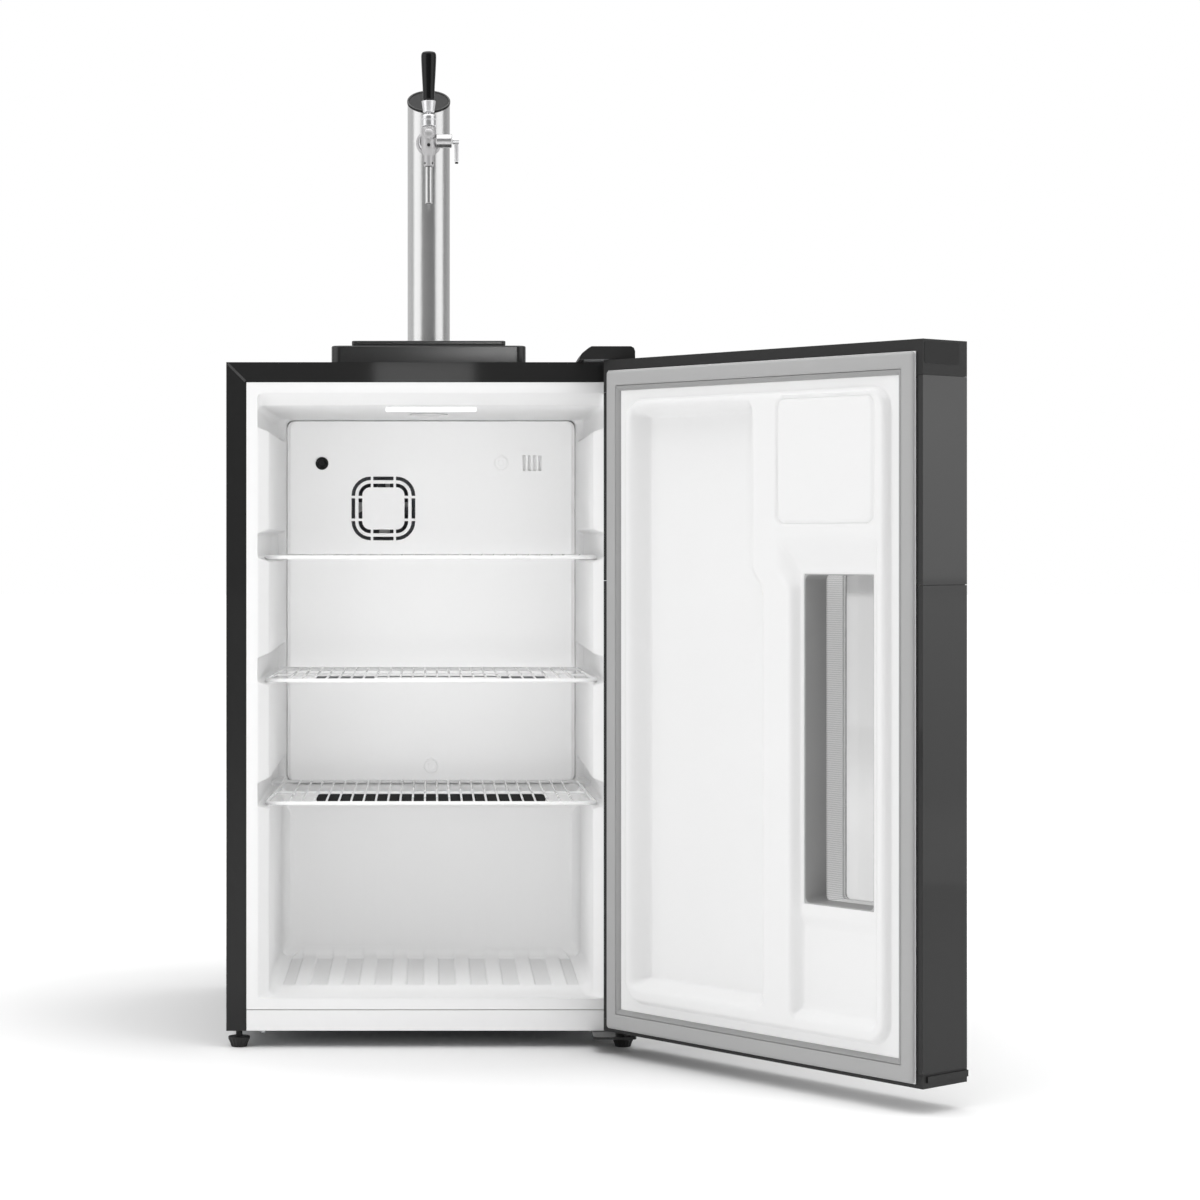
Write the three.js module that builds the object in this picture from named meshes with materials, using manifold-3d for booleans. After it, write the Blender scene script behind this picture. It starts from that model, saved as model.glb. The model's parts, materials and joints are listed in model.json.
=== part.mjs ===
// A one-tap beer dispenser built on a mini fridge: a foamed steel cabinet with three wire shelves,
// a windowed door on the right-hand hinge, a fan-cooled rear wall, and a stainless tap tower on top.
//
// Lengths are millimetres and +Z is up. The cabinet is described in its own frame: X = 0 on its
// mid-plane with the hinge on the +X side, Y = 0 on its front plane with the back at +Y, and Z = 0
// on the floor. The finished group is shifted so that its origin is the centre of the underside of
// the front left levelling foot. The door stands open, as the fridge is shown off.
import * as THREE from 'three';
import { mergeVertices } from 'three/addons/utils/BufferGeometryUtils.js';
import Module from 'manifold-3d';

// Driving dimensions.
const GAP = 0.3; // clearance between pieces that touch
const SHEET = 1.2; // painted steel sheet
const WALL = 2; // thermoformed and moulded plastic
const CABINET = { half: 250, bottom: 20.6, top: 837, depth: 504, frontReturn: 24.4 };
const OPENING = { half: 212, bottom: 60, top: 800 }; // mouth of the cavity
const CAVITY = { half: 198, floor: 68, ceiling: 784, back: 466, bevel: 16, ramp: 56 };
const STEP = { front: 312, top: 285 }; // raised floor over the compressor
const STEP_STRIP = { half: 152, bottom: 270.5, top: 283, radius: 6, sheet: 2 };
const NICHE = { front: 350, top: 250 }; // compressor niche at the lower back
const LEDGE = { heights: [292.6, 444, 595.8], opening: 34, depth: 400, topRecess: 755 };
const GROOVE = { count: 10, pitch: 40, half: 10.5, depth: 2.5, front: 60, back: 300 };
const COVER = { half: 194, front: 444, bottom: 288, top: 783, sheet: 2.5 };
const RETURN_AIR = { x: [-166, -77], z: [422, 431.5] }; // slot in the cover
const LOUVRE = { first: 128.3, slot: 4.2, pitch: 5.8, count: 4, z: [715, 736] };
const SENSOR_PLUG = { upper: [96.2, 725.7], lower: [0, 310], radius: 10.5, stem: 4.6 };
const FAN = { x: -65.4, z: 663.3, half: 45, blades: 7 };
const SHELF = { half: 203.5, rearHalf: 197, front: 35, middle: 200, rear: 359, rods: 24, rodSpan: 175 };
const WIRE = 2.5; // radius of the shelf frame
const HINGE = { x: 237.9, y: -36.2, pin: 4 };
const DOOR = { width: 499, thickness: 73, bottom: 28.9, top: 836.5, openDegrees: 130 };
const DOOR_GAP = 7; // cabinet front to the inner rim of the shut door
const DOOR_SEAMS = { trim: 43.7, middle: 571, module: 797.5 };
const DYKE = { u: [44, 455], z: [70, 787], rise: 9, draft: 3, radius: 25 };
const WINDOW = { u: [327, 430], z: [213, 582], lip: 1, innerPane: 35, outerPane: 65, pane: 4 };
const TOWER = { x: -3, y: 240, radius: 27.5, tube: 1.5, frontHeight: 1172, slope: 32 };
const PLINTH = { half: 121.5, front: 78, back: 300, height: 25.3, radius: 12 };
const TRAY = { half: 96, front: 88, back: 190, depth: 13.7 };
const FAUCET = { reach: -62, shankHeight: 1133, controlHeight: 1131, pivotHeight: 1161.3, boss: 9.5 };
const BODY_TOP = 1149.1;
const SHANK = { radius: 9.1, bore: 4.4, shaft: 2.4, clearance: 9.4 };
const SPOUT = { radius: 4.9, bore: 3.4, bottom: 1051, top: 1097.7 };
const FLOW_LEVER = { tip: 1102, width: 4, x: [33, 38.6] };
const FOOT = { x: 235, y: 12 };
const CORNER_STEPS = 3;

// Solid modelling helpers.
const wasm = await Module();
wasm.setup();

const range = (count) => Array.from({ length: count }, (_, index) => index);
const radians = THREE.MathUtils.degToRad;

// A closed solid from a geometry: shared corners merged, collapsed triangles dropped, faces outwards.
function solid(geometry) {
  const bare = geometry.clone();
  bare.deleteAttribute('normal');
  bare.deleteAttribute('uv');
  const merged = mergeVertices(bare, 1e-4);
  const index = merged.index.array;
  const place = range(merged.attributes.position.count).map((corner) =>
    new THREE.Vector3().fromBufferAttribute(merged.attributes.position, corner));
  const triangles = range(index.length / 3)
    .map((face) => [index[3 * face], index[3 * face + 1], index[3 * face + 2]])
    .filter(([a, b, c]) => a !== b && b !== c && c !== a);
  const volume = triangles.reduce((sum, [a, b, c]) =>
    sum + place[a].dot(new THREE.Vector3().crossVectors(place[b], place[c])), 0);
  const outward = triangles.map(([a, b, c]) => (volume < 0 ? [a, c, b] : [a, b, c]));
  return new wasm.Manifold(new wasm.Mesh({
    numProp: 3,
    vertProperties: new Float32Array(merged.attributes.position.array),
    triVerts: new Uint32Array(outward.flat()),
  }));
}

function geometryOf(shape) {
  const { vertProperties, triVerts } = shape.getMesh();
  const geometry = new THREE.BufferGeometry();
  geometry.setAttribute('position', new THREE.BufferAttribute(vertProperties, 3));
  geometry.setIndex(new THREE.BufferAttribute(triVerts, 1));
  geometry.computeVertexNormals();
  return geometry;
}

const union = (shapes) => shapes.reduce((whole, shape) => whole.add(shape));
const cut = (shape, tools) => tools.reduce((rest, tool) => rest.subtract(tool), shape);

function block([x0, x1], [y0, y1], [z0, z1]) {
  const geometry = new THREE.BoxGeometry(x1 - x0, y1 - y0, z1 - z0);
  return solid(geometry.translate((x0 + x1) / 2, (y0 + y1) / 2, (z0 + z1) / 2));
}

// A round bar along one axis; its centre is given by the two other coordinates in X, Y, Z order.
function bar(axis, [a, b], radius, [from, to], sides = 20) {
  const geometry = new THREE.CylinderGeometry(radius, radius, to - from, sides);
  geometry.translate(0, (from + to) / 2, 0);
  if (axis === 'x') geometry.rotateZ(-Math.PI / 2).translate(0, a, b);
  if (axis === 'y') geometry.translate(a, 0, b);
  if (axis === 'z') geometry.rotateX(Math.PI / 2).translate(a, b, 0);
  return solid(geometry);
}

// A round bar between two points.
function rod(start, end, radius, sides = 6) {
  const [a, b] = [new THREE.Vector3(...start), new THREE.Vector3(...end)];
  const run = b.clone().sub(a);
  const geometry = new THREE.CylinderGeometry(radius, radius, run.length(), sides);
  const turn = new THREE.Quaternion().setFromUnitVectors(new THREE.Vector3(0, 1, 0), run.normalize());
  geometry.applyQuaternion(turn).translate(...a.add(b).multiplyScalar(0.5).toArray());
  return solid(geometry);
}

// A prism along one axis; the outline's two coordinates are the other two, in X, Y, Z order.
const UNIT = [new THREE.Vector3(1, 0, 0), new THREE.Vector3(0, 1, 0), new THREE.Vector3(0, 0, 1)];
const TURNS = {
  x: new THREE.Matrix4().makeBasis(UNIT[1], UNIT[2], UNIT[0]),
  y: new THREE.Matrix4().makeBasis(UNIT[0], UNIT[2], UNIT[1]),
  z: new THREE.Matrix4(),
};

function prism(axis, outline, [from, to]) {
  const shape = Array.isArray(outline)
    ? new THREE.Shape(outline.map(([a, b]) => new THREE.Vector2(a, b))) : outline;
  const settings = { depth: to - from, bevelEnabled: false, curveSegments: CORNER_STEPS };
  const geometry = new THREE.ExtrudeGeometry(shape, settings).translate(0, 0, from);
  return solid(geometry.applyMatrix4(TURNS[axis]));
}

function roundedOutline([a0, a1], [b0, b1], radius) {
  const shape = new THREE.Shape();
  shape.moveTo(a0 + radius, b0);
  shape.absarc(a1 - radius, b0 + radius, radius, -Math.PI / 2, 0);
  shape.absarc(a1 - radius, b1 - radius, radius, 0, Math.PI / 2);
  shape.absarc(a0 + radius, b1 - radius, radius, Math.PI / 2, Math.PI);
  shape.absarc(a0 + radius, b0 + radius, radius, Math.PI, 1.5 * Math.PI);
  return shape;
}

const roundedPrism = (axis, a, b, radius, span) => prism(axis, roundedOutline(a, b, radius), span);

function frame(axis, outerA, outerB, innerA, innerB, [from, to], radius) {
  const inside = roundedPrism(axis, innerA, innerB, radius, [from - 1, to + 1]);
  return roundedPrism(axis, outerA, outerB, radius, [from, to]).subtract(inside);
}

// A rounded rectangle in an XZ plane, as a closed ring of points.
function ring([x0, x1], [z0, z1], radius, y) {
  const centres = [[x1, z1, -1, -1], [x0, z1, 1, -1], [x0, z0, 1, 1], [x1, z0, -1, 1]];
  return centres.flatMap(([x, z, dx, dz], quarter) => range(CORNER_STEPS + 1).map((step) => {
    const angle = (quarter + step / CORNER_STEPS) * Math.PI / 2;
    return [x + radius * (dx + Math.cos(angle)), y, z + radius * (dz + Math.sin(angle))];
  }));
}

// A closed skin over two or more rings with the same number of points, each ring convex.
function loft(rings) {
  const count = rings[0].length;
  const corners = rings.flat();
  const sides = range(rings.length - 1).flatMap((level) => range(count).flatMap((step) => {
    const [a, b] = [level * count + step, level * count + ((step + 1) % count)];
    return [a, b, b + count, a, b + count, a + count];
  }));
  const last = corners.length - count;
  const ends = range(count - 2).flatMap((step) => [
    0, step + 2, step + 1, last, last + step + 1, last + step + 2]);
  const geometry = new THREE.BufferGeometry();
  geometry.setAttribute('position', new THREE.Float32BufferAttribute(corners.flat(), 3));
  geometry.setIndex([...sides, ...ends]);
  return solid(geometry);
}

// A turned piece about the Z axis from [radius, height] pairs.
function turned(profile, sides = 18) {
  const points = profile.map(([radius, height]) => new THREE.Vector2(radius, height));
  return solid(new THREE.LatheGeometry(points, sides).rotateX(Math.PI / 2));
}

// A tube along a smooth curve through hand-chosen points.
function tube(points, radius, steps, sides = 8) {
  const path = new THREE.CatmullRomCurve3(points.map((point) => new THREE.Vector3(...point)));
  const circle = new THREE.Shape().absarc(0, 0, radius, 0, 2 * Math.PI);
  const section = new THREE.Shape(circle.getSpacedPoints(sides).slice(0, sides));
  return solid(new THREE.ExtrudeGeometry(section, { steps, extrudePath: path, bevelEnabled: false }));
}

// Finishes: colour, roughness, metalness.
const FINISHES = {
  black_steel: [0x303030, 0.45, 0.3],
  black_plastic: [0x333333, 0.55, 0],
  white_plastic: [0xf0f0f0, 0.4, 0],
  white_wire: [0xf2f2f2, 0.35, 0],
  grey_rubber: [0xacacac, 0.7, 0],
  dark_frame: [0x858585, 0.5, 0],
  stainless: [0xe5e5e5, 0.3, 1],
  chrome: [0xd8d8d8, 0.12, 1],
  zinc_steel: [0xb4b6b8, 0.45, 0.9],
  copper: [0xb4714a, 0.35, 0.9],
  foam: [0xe8dcb0, 0.9, 0],
  rubber: [0x1c1c1c, 0.8, 0],
  clear_glass: [0xc8cccc, 0.08, 0],
  lamp_lens: [0xffffff, 0.35, 0],
};

function piece(parent, name, shape, finish, position = [0, 0, 0]) {
  const [color, roughness, metalness] = FINISHES[finish];
  const material = new THREE.MeshStandardMaterial({ color, roughness, metalness });
  const mesh = new THREE.Mesh(geometryOf(shape), material);
  mesh.name = name;
  mesh.position.set(...position);
  parent.add(mesh);
}

const both = (half) => [-half, half];

// Where lines pass through the walls.
const GAS_LINE = { x: -149.5, z: 725, bore: 5, sleeve: 6.5, flange: 8.8, membrane: 1.5 };
const BEER_LINE = { bore: 16.5, sleeve: 19.7 };

// The cavity, grown by `grow` into the walls; it starts at the plane Y = front.
function cavity(grow, front) {
  const { half, floor, ceiling, back, bevel, ramp } = CAVITY;
  const wide = OPENING.half + grow;
  const mouth = [OPENING.bottom - grow, OPENING.top + grow];
  const sideView = [
    [front, mouth[0]], [0.01, mouth[0]], [ramp, floor - grow], [STEP.front + grow, floor - grow],
    [STEP.front + grow, STEP.top - grow], [back + grow, STEP.top - grow],
    [back + grow, ceiling + grow], [bevel, ceiling + grow], [0.01, mouth[1]], [front, mouth[1]]];
  const bevelled = loft([
    ring(both(wide), mouth, 6 + grow, 0),
    ring(both(half + grow), [mouth[0], ceiling + grow], 2 + grow, bevel)]);
  const recesses = [...LEDGE.heights.map((z) => [z - grow, z + LEDGE.opening + grow]),
    [LEDGE.topRecess - grow, ceiling + grow]];
  const grooves = range(GROOVE.count).map((index) => {
    const middle = (index - (GROOVE.count - 1) / 2) * GROOVE.pitch;
    return block([middle - GROOVE.half - grow, middle + GROOVE.half + grow],
      [GROOVE.front - grow, GROOVE.back + grow], [floor - GROOVE.depth - grow, floor + 1]);
  });
  const shapes = [prism('x', sideView, both(half + grow)), bevelled, ...grooves,
    ...recesses.map((span) => block(both(wide), [Math.max(front, 1), LEDGE.depth + grow], span))];
  if (front < 0) shapes.push(roundedPrism('y', both(wide), mouth, 6 + grow, [front, 0.01]));
  return union(shapes);
}

const gasLineHole = (radius) => bar('y', [GAS_LINE.x, GAS_LINE.z], radius, [440, 510], 16);
const beerLineHole = (radius) => bar('z', [TOWER.x, TOWER.y], radius, [780, 840], 24);

// Cabinet walls.
function addCabinet(group) {
  const { half, bottom, top, depth, frontReturn } = CABINET;
  const face = half - frontReturn - GAP;
  const wrapper = cut(block(both(half), [0, depth], [bottom, top]), [
    block(both(half - SHEET), [SHEET, depth + 1], [bottom - 1, top - SHEET]),
    block(both(half - frontReturn), [-1, 2 * SHEET], [bottom - 1, top - frontReturn]),
    beerLineHole(BEER_LINE.sleeve + GAP)]);
  piece(group, 'cabinet_shell', wrapper, 'black_steel');

  const flange = block(both(face), [0, WALL], [46.8, top - frontReturn - GAP]);
  const liner = cut(cavity(WALL, 0).add(flange), [cavity(0, -1),
    beerLineHole(BEER_LINE.sleeve + GAP), gasLineHole(GAS_LINE.sleeve + GAP)]);
  piece(group, 'inner_liner', liner, 'white_plastic');
  const rail = block(both(face), [0.4, 3.2], [bottom + GAP, 45.9]);
  piece(group, 'front_rail', rail, 'white_plastic');

  const inside = depth - SHEET - GAP;
  const foamBlock = block(both(half - SHEET - GAP), [3.6, inside - 7], [22.3, top - SHEET - GAP]);
  const studHoles = [-FOOT.x, FOOT.x].map((x) => bar('z', [x, FOOT.y], 5, [20, 37], 12));
  const foam = cut(foamBlock, [cavity(WALL + GAP, -1),
    block(both(half), [NICHE.front, depth], [0, NICHE.top]),
    beerLineHole(BEER_LINE.sleeve + GAP), gasLineHole(GAS_LINE.sleeve + GAP), ...studHoles]);
  piece(group, 'cabinet_foam', foam, 'foam');

  const rear = block(both(half - SHEET - GAP), [inside, inside + SHEET], [NICHE.top + GAP, top - 1.6]);
  piece(group, 'back_panel', rear.subtract(gasLineHole(GAS_LINE.sleeve + GAP)), 'black_steel');
  const pan = cut(block(both(half - SHEET - GAP), [3.6, NICHE.front - 2], [bottom, bottom + SHEET]),
    [-FOOT.x, FOOT.x].map((x) => bar('z', [x, FOOT.y], 4.6, [20, 23], 12)));
  piece(group, 'base_pan', pan, 'zinc_steel');
  const nicheSide = [[NICHE.front + GAP, 24.2], [NICHE.front + 1.5, 24.2],
    [NICHE.front + 1.5, NICHE.top - 1.5], [inside - GAP, NICHE.top - 1.5],
    [inside - GAP, NICHE.top - GAP], [NICHE.front + GAP, NICHE.top - GAP]];
  piece(group, 'niche_panel', prism('x', nicheSide, both(half - SHEET - GAP)), 'zinc_steel');
}

// Rear wall of the cavity: a cover with a fan grille, a louvre and plugs, and what is behind it.
function slotRing(outer, slot, radius) {
  const inner = outer - slot;
  const around = (half) => [[FAN.x - half, FAN.x + half], [FAN.z - half, FAN.z + half]];
  const span = [COVER.front - 1, COVER.front + 5];
  const loop = roundedPrism('y', ...around(outer), radius, span)
    .subtract(roundedPrism('y', ...around(inner), radius - slot, [span[0] - 1, span[1] + 1]));
  const bridges = [-15.6, 15.6].flatMap((offset) => [
    block([FAN.x + offset - 1.75, FAN.x + offset + 1.75], [440, 452], around(outer + 2)[1]),
    block(around(outer + 2)[0], [440, 452], [FAN.z + offset - 1.75, FAN.z + offset + 1.75])]);
  return cut(loop, bridges);
}

function addRearWall(group) {
  const { half, front, bottom, top, sheet } = COVER;
  const through = [front - 4, front + 6];
  const louvre = range(LOUVRE.count).map((index) => {
    const x = LOUVRE.first + LOUVRE.pitch * index;
    return block([x, x + LOUVRE.slot], through, LOUVRE.z);
  });
  const shell = cut(roundedPrism('y', both(half), [bottom, top], 10, [front, CAVITY.back - GAP]), [
    roundedPrism('y', both(half - sheet), [bottom + sheet, top - sheet], 8, [front + sheet, 470]),
    slotRing(43.7, 4.9, 26), slotRing(34, 5, 16), gasLineHole(GAS_LINE.sleeve + GAP),
    block(RETURN_AIR.x, through, RETURN_AIR.z), ...louvre,
    ...[SENSOR_PLUG.upper, SENSOR_PLUG.lower].map((place) =>
      bar('y', place, SENSOR_PLUG.stem + GAP, through, 12))]);
  piece(group, 'evaporator_cover', shell, 'white_plastic');
  const plug = union([bar('y', [0, 0], SENSOR_PLUG.radius, [-2, -GAP], 24),
    bar('y', [0, 0], SENSOR_PLUG.stem, [-1, 3], 12)]);
  const [upper, lower] = [SENSOR_PLUG.upper, SENSOR_PLUG.lower];
  piece(group, 'upper_sensor_plug', plug, 'white_plastic', [upper[0], front, upper[1]]);
  piece(group, 'lower_sensor_plug', plug, 'white_plastic', [lower[0], front, lower[1]]);
  const strip = roundedPrism('y', both(STEP_STRIP.half), [STEP_STRIP.bottom, STEP_STRIP.top],
    STEP_STRIP.radius, [-STEP_STRIP.sheet - GAP, -GAP]);
  piece(group, 'step_trim_strip', strip, 'black_plastic', [0, STEP.front, 0]);

  const channels = range(6).map((index) => {
    const z = 320 + 42 * index;
    return block([-150, 150], [-1, 4], [z, z + 10]);
  });
  const plate = union([block([-165, 165], [0, 1.5], [305, 560]), ...channels]);
  piece(group, 'evaporator_plate', plate, 'zinc_steel', [0, 455, 0]);

  const fanBody = cut(block(both(FAN.half), [0, 14], both(FAN.half)),
    [bar('y', [0, 0], FAN.half - 3, [-1, 12], 24)]);
  const outlets = range(4).map((index) => prism('y',
    roundedOutline([14, 38], [-9, 9], 4), [10, 15]).rotate([0, 90 * index, 0]));
  piece(group, 'fan_frame', cut(fanBody, outlets), 'black_plastic', [FAN.x, 450.5, FAN.z]);
  const blades = range(FAN.blades).map((index) => block([0, 40], [-4, -3], [-9, 9])
    .rotate([38, 0, 0]).translate([0, -3, 0]).rotate([0, (360 / FAN.blades) * index, 0]));
  const rotor = union([bar('y', [0, 0], 16, [-5, 5], 20),
    ...blades.map((blade) => blade.translate([0, 3, 0]))]);
  const trimmed = rotor.intersect(bar('y', [0, 0], 40, [-5, 5], 28));
  piece(group, 'fan_rotor', trimmed, 'black_plastic', [FAN.x, 456.5, FAN.z]);

  const sleeve = cut(union([bar('y', [0, 0], GAS_LINE.sleeve, [-2, 63], 16),
    bar('y', [0, 0], GAS_LINE.flange, [-2, -GAP], 20)]),
  [bar('y', [0, 0], GAS_LINE.bore, [GAS_LINE.membrane - 2, 70], 16)]);
  piece(group, 'gas_line_bushing', sleeve, 'rubber', [GAS_LINE.x, front, GAS_LINE.z]);
  const duct = cut(union([bar('z', [0, 0], BEER_LINE.sleeve, [-2, 58]),
    bar('z', [0, 0], 25, [-2, -GAP])]), [bar('z', [0, 0], BEER_LINE.bore, [-3, 60])]);
  piece(group, 'beer_line_duct', duct, 'white_plastic', [TOWER.x, TOWER.y, CAVITY.ceiling]);
  const lamp = roundedPrism('z', both(56), both(14), 5, [-4.3, -GAP]);
  piece(group, 'lamp_cover', lamp, 'lamp_lens', [0, 62, CAVITY.ceiling]);
}

// Wire shelf: a closed frame filled with rods, and a cross rail over them, centred on its front rail.
function shelfSolid() {
  const { half, rearHalf, front, middle, rear, rods, rodSpan } = SHELF;
  const run = rear - front;
  const corner = 14;
  const middleHalf = half - ((half - rearHalf) * (middle - front)) / run;
  const frameRods = [
    rod([-half + corner, 0, 0], [half - corner, 0, 0], WIRE),
    rod([-middleHalf, middle - front, 3.5], [middleHalf, middle - front, 3.5], 1.8),
    rod([-rearHalf, run, 0], [rearHalf, run, 0], WIRE),
    ...[-1, 1].flatMap((side) => [
      rod([side * (half - corner - 1), 0, 0], [side * half, corner, 0], WIRE),
      rod([side * half, corner - 1, 0], [side * rearHalf, run, 0], WIRE)])];
  const wires = range(rods).map((index) => {
    const x = -rodSpan + (2 * rodSpan * index) / (rods - 1);
    return block([x - 1.4, x + 1.4], [0, run], [-1.4, 1.4]);
  });
  return union([...frameRods, ...wires]);
}

function addShelves(group) {
  const names = ['shelf_bottom', 'shelf_middle', 'shelf_top'];
  const shape = shelfSolid();
  names.forEach((name, index) => {
    piece(group, name, shape, 'white_wire', [0, SHELF.front, LEDGE.heights[index] + WIRE + GAP]);
  });
}

// Cooling machinery in the niche at the lower back.
function addMachinery(group) {
  const plate = block(both(247.5), [NICHE.front + 3, 500], [20.6, 23.6]);
  piece(group, 'compressor_plate', plate, 'zinc_steel');
  const can = turned([[0, 0], [50, 0], [55, 8], [55, 74], [53, 78], [53, 100], [44, 124], [24, 138],
    [0, 141]], 20);
  const mountPlate = block(both(78), both(52), [0, 3]);
  const mounts = [-68, 68].flatMap((x) => [-42, 42].map((y) => bar('z', [x, y], 8, [-10, 1], 12)));
  piece(group, 'compressor', union([can, mountPlate, ...mounts]), 'black_steel', [-20, 428, 34]);
  const cover = roundedPrism('z', [0, 26], both(20), 3, [50, 106]);
  piece(group, 'terminal_cover', cover, 'black_plastic', [36, 428, 34]);
  const tray = block(both(58), both(44), [0, 26]).subtract(block(both(56), both(42), [2, 27]));
  piece(group, 'evaporation_tray', tray, 'black_plastic', [-20, 430, 175.4]);
  const drier = turned([[0, 0], [3, 0], [3, 12], [9, 22], [9, 92], [3, 102], [3, 114], [0, 114]], 16);
  piece(group, 'filter_drier', drier, 'copper', [130, 400, 60]);

  const passes = range(9).flatMap((index) => {
    const z = 290 + 62 * index;
    return index % 2 ? [[210, 0, z], [-90, 0, z]] : [[-90, 0, z], [210, 0, z]];
  });
  piece(group, 'condenser_coil', tube(passes, 2.2, 72, 5), 'black_steel', [0, 499, 0]);
}

// Feet: a flared cup with a threaded stud in front, plain pads behind.
function addFeet(group) {
  const cup = turned([[0, 0], [10, 0], [10.6, 2], [13.5, 10], [13.5, 12.5], [4, 12.5], [4, 33], [0, 33]]);
  piece(group, 'front_left_foot', cup, 'rubber', [-FOOT.x, FOOT.y, 0]);
  piece(group, 'front_right_foot', cup, 'rubber', [FOOT.x, FOOT.y, 0]);
  const pad = turned([[0, 0], [13, 0], [14, 2], [12, 20.3], [0, 20.3]], 20);
  piece(group, 'rear_left_foot', pad, 'rubber', [-215, 478, 0]);
  piece(group, 'rear_right_foot', pad, 'rubber', [215, 478, 0]);
}

// Hinge hardware on the cabinet; both pins stand on the hinge axis.
function addHinges(group) {
  const { x, y, pin } = HINGE;
  const { top } = CABINET;
  const upper = union([
    roundedPrism('z', [186, 243.5], [y - 7, 38], 6, [top + GAP, top + 3.3]),
    bar('z', [x, y], pin, [DOOR.top - 22, top + 2], 16)]);
  piece(group, 'top_hinge_plate', upper, 'zinc_steel');
  const hood = [[179, top + GAP], [245.5, top + GAP], [245.5, 847], [244, 851], [240.5, 853],
    [193, 853], [189.5, 851], [182, 845], [179, 840]];
  const room = [[184, top - 1], [244.5, top - 1], [244.5, 848], [240, 850.5], [194, 850.5], [184, 843]];
  const hollow = prism('y', room, [y - 15, 43]);
  piece(group, 'top_hinge_cover', prism('y', hood, [y - 17, 45]).subtract(hollow), 'black_plastic');
  const lower = union([
    roundedPrism('z', [196, 248], [y - 8, 60], 6, [17.3, 20.3]),
    bar('z', [x, y], pin, [19, DOOR.bottom + 12], 16)]);
  const studHole = bar('z', [FOOT.x, FOOT.y], 4.6, [10, 22], 12);
  piece(group, 'bottom_hinge_bracket', lower.subtract(studHole), 'black_steel');
}

// Plinth, drip tray and tap tower, about the tower's axis.
function addTower(group) {
  const { radius, tube: wall, frontHeight, slope } = TOWER;
  const seat = CABINET.top + GAP;
  const top = seat + PLINTH.height;
  const [front, back] = [PLINTH.front - TOWER.y, PLINTH.back - TOWER.y];
  const trayY = [TRAY.front - TOWER.y, TRAY.back - TOWER.y];
  const wallOut = (span, by) => [span[0] - by, span[1] + by];
  const shell = roundedPrism('z', both(PLINTH.half), [front, back], PLINTH.radius, [seat, top]);
  const hollow = roundedPrism('z', both(PLINTH.half - 3), [front + 3, back - 3], 9, [seat - 1, top - 3]);
  const well = block(both(TRAY.half + 3), wallOut(trayY, 3), [top - TRAY.depth - 3, top]);
  const plinth = cut(shell, [hollow.subtract(well),
    block(both(TRAY.half), trayY, [top - TRAY.depth, top + 1]), bar('z', [0, 0], 20, [seat, top + 1])]);
  piece(group, 'tower_plinth', plinth, 'black_plastic');
  const pan = block(both(TRAY.half - GAP), wallOut(trayY, -GAP), [top - TRAY.depth + GAP, top - 0.5])
    .subtract(block(both(TRAY.half - 2), wallOut(trayY, -2), [top - TRAY.depth + 2.3, top + 1]));
  piece(group, 'drip_tray', pan, 'black_plastic');
  const slots = range(13).map((index) => {
    const x = (index - 6) * 13.5;
    return block([x - 3, x + 3], wallOut(trayY, -8), [top, top + 10]);
  });
  const bevelled = [[-TRAY.half, top + GAP], [TRAY.half, top + GAP], [TRAY.half, top + 4],
    [TRAY.half - 3, top + 6.1], [-TRAY.half + 3, top + 6.1], [-TRAY.half, top + 4]];
  const grille = cut(prism('y', bevelled, [front + 3, trayY[1] + 8]), slots);
  piece(group, 'drip_grille', grille, 'black_plastic');

  // The column's top is cut on a slant that rises to the back, and a lid closes it.
  const slantAt = (y) => frontHeight + (y + radius) * Math.tan(radians(slope));
  const slab = (low, high) => prism('x', [[-60, slantAt(-60) + low], [60, slantAt(60) + low],
    [60, slantAt(60) + high], [-60, slantAt(-60) + high]], both(60));
  const column = cut(bar('z', [0, 0], radius, [top + GAP, 1230], 32), [
    bar('z', [0, 0], radius - wall, [top - 1, 1240], 32), slab(0, 90),
    bar('y', [0, FAUCET.shankHeight], 9.4, [-40, 0], 20)]);
  piece(group, 'tower_column', column, 'stainless');
  const lid = bar('z', [0, 0], radius + 0.6, [1120, 1240], 32).intersect(slab(GAP, 3.2));
  const spigot = bar('z', [0, 0], radius - wall - GAP, [1120, 1240], 32).intersect(slab(-5, 1));
  piece(group, 'tower_cap', lid.add(spigot), 'black_plastic');
}

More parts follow.
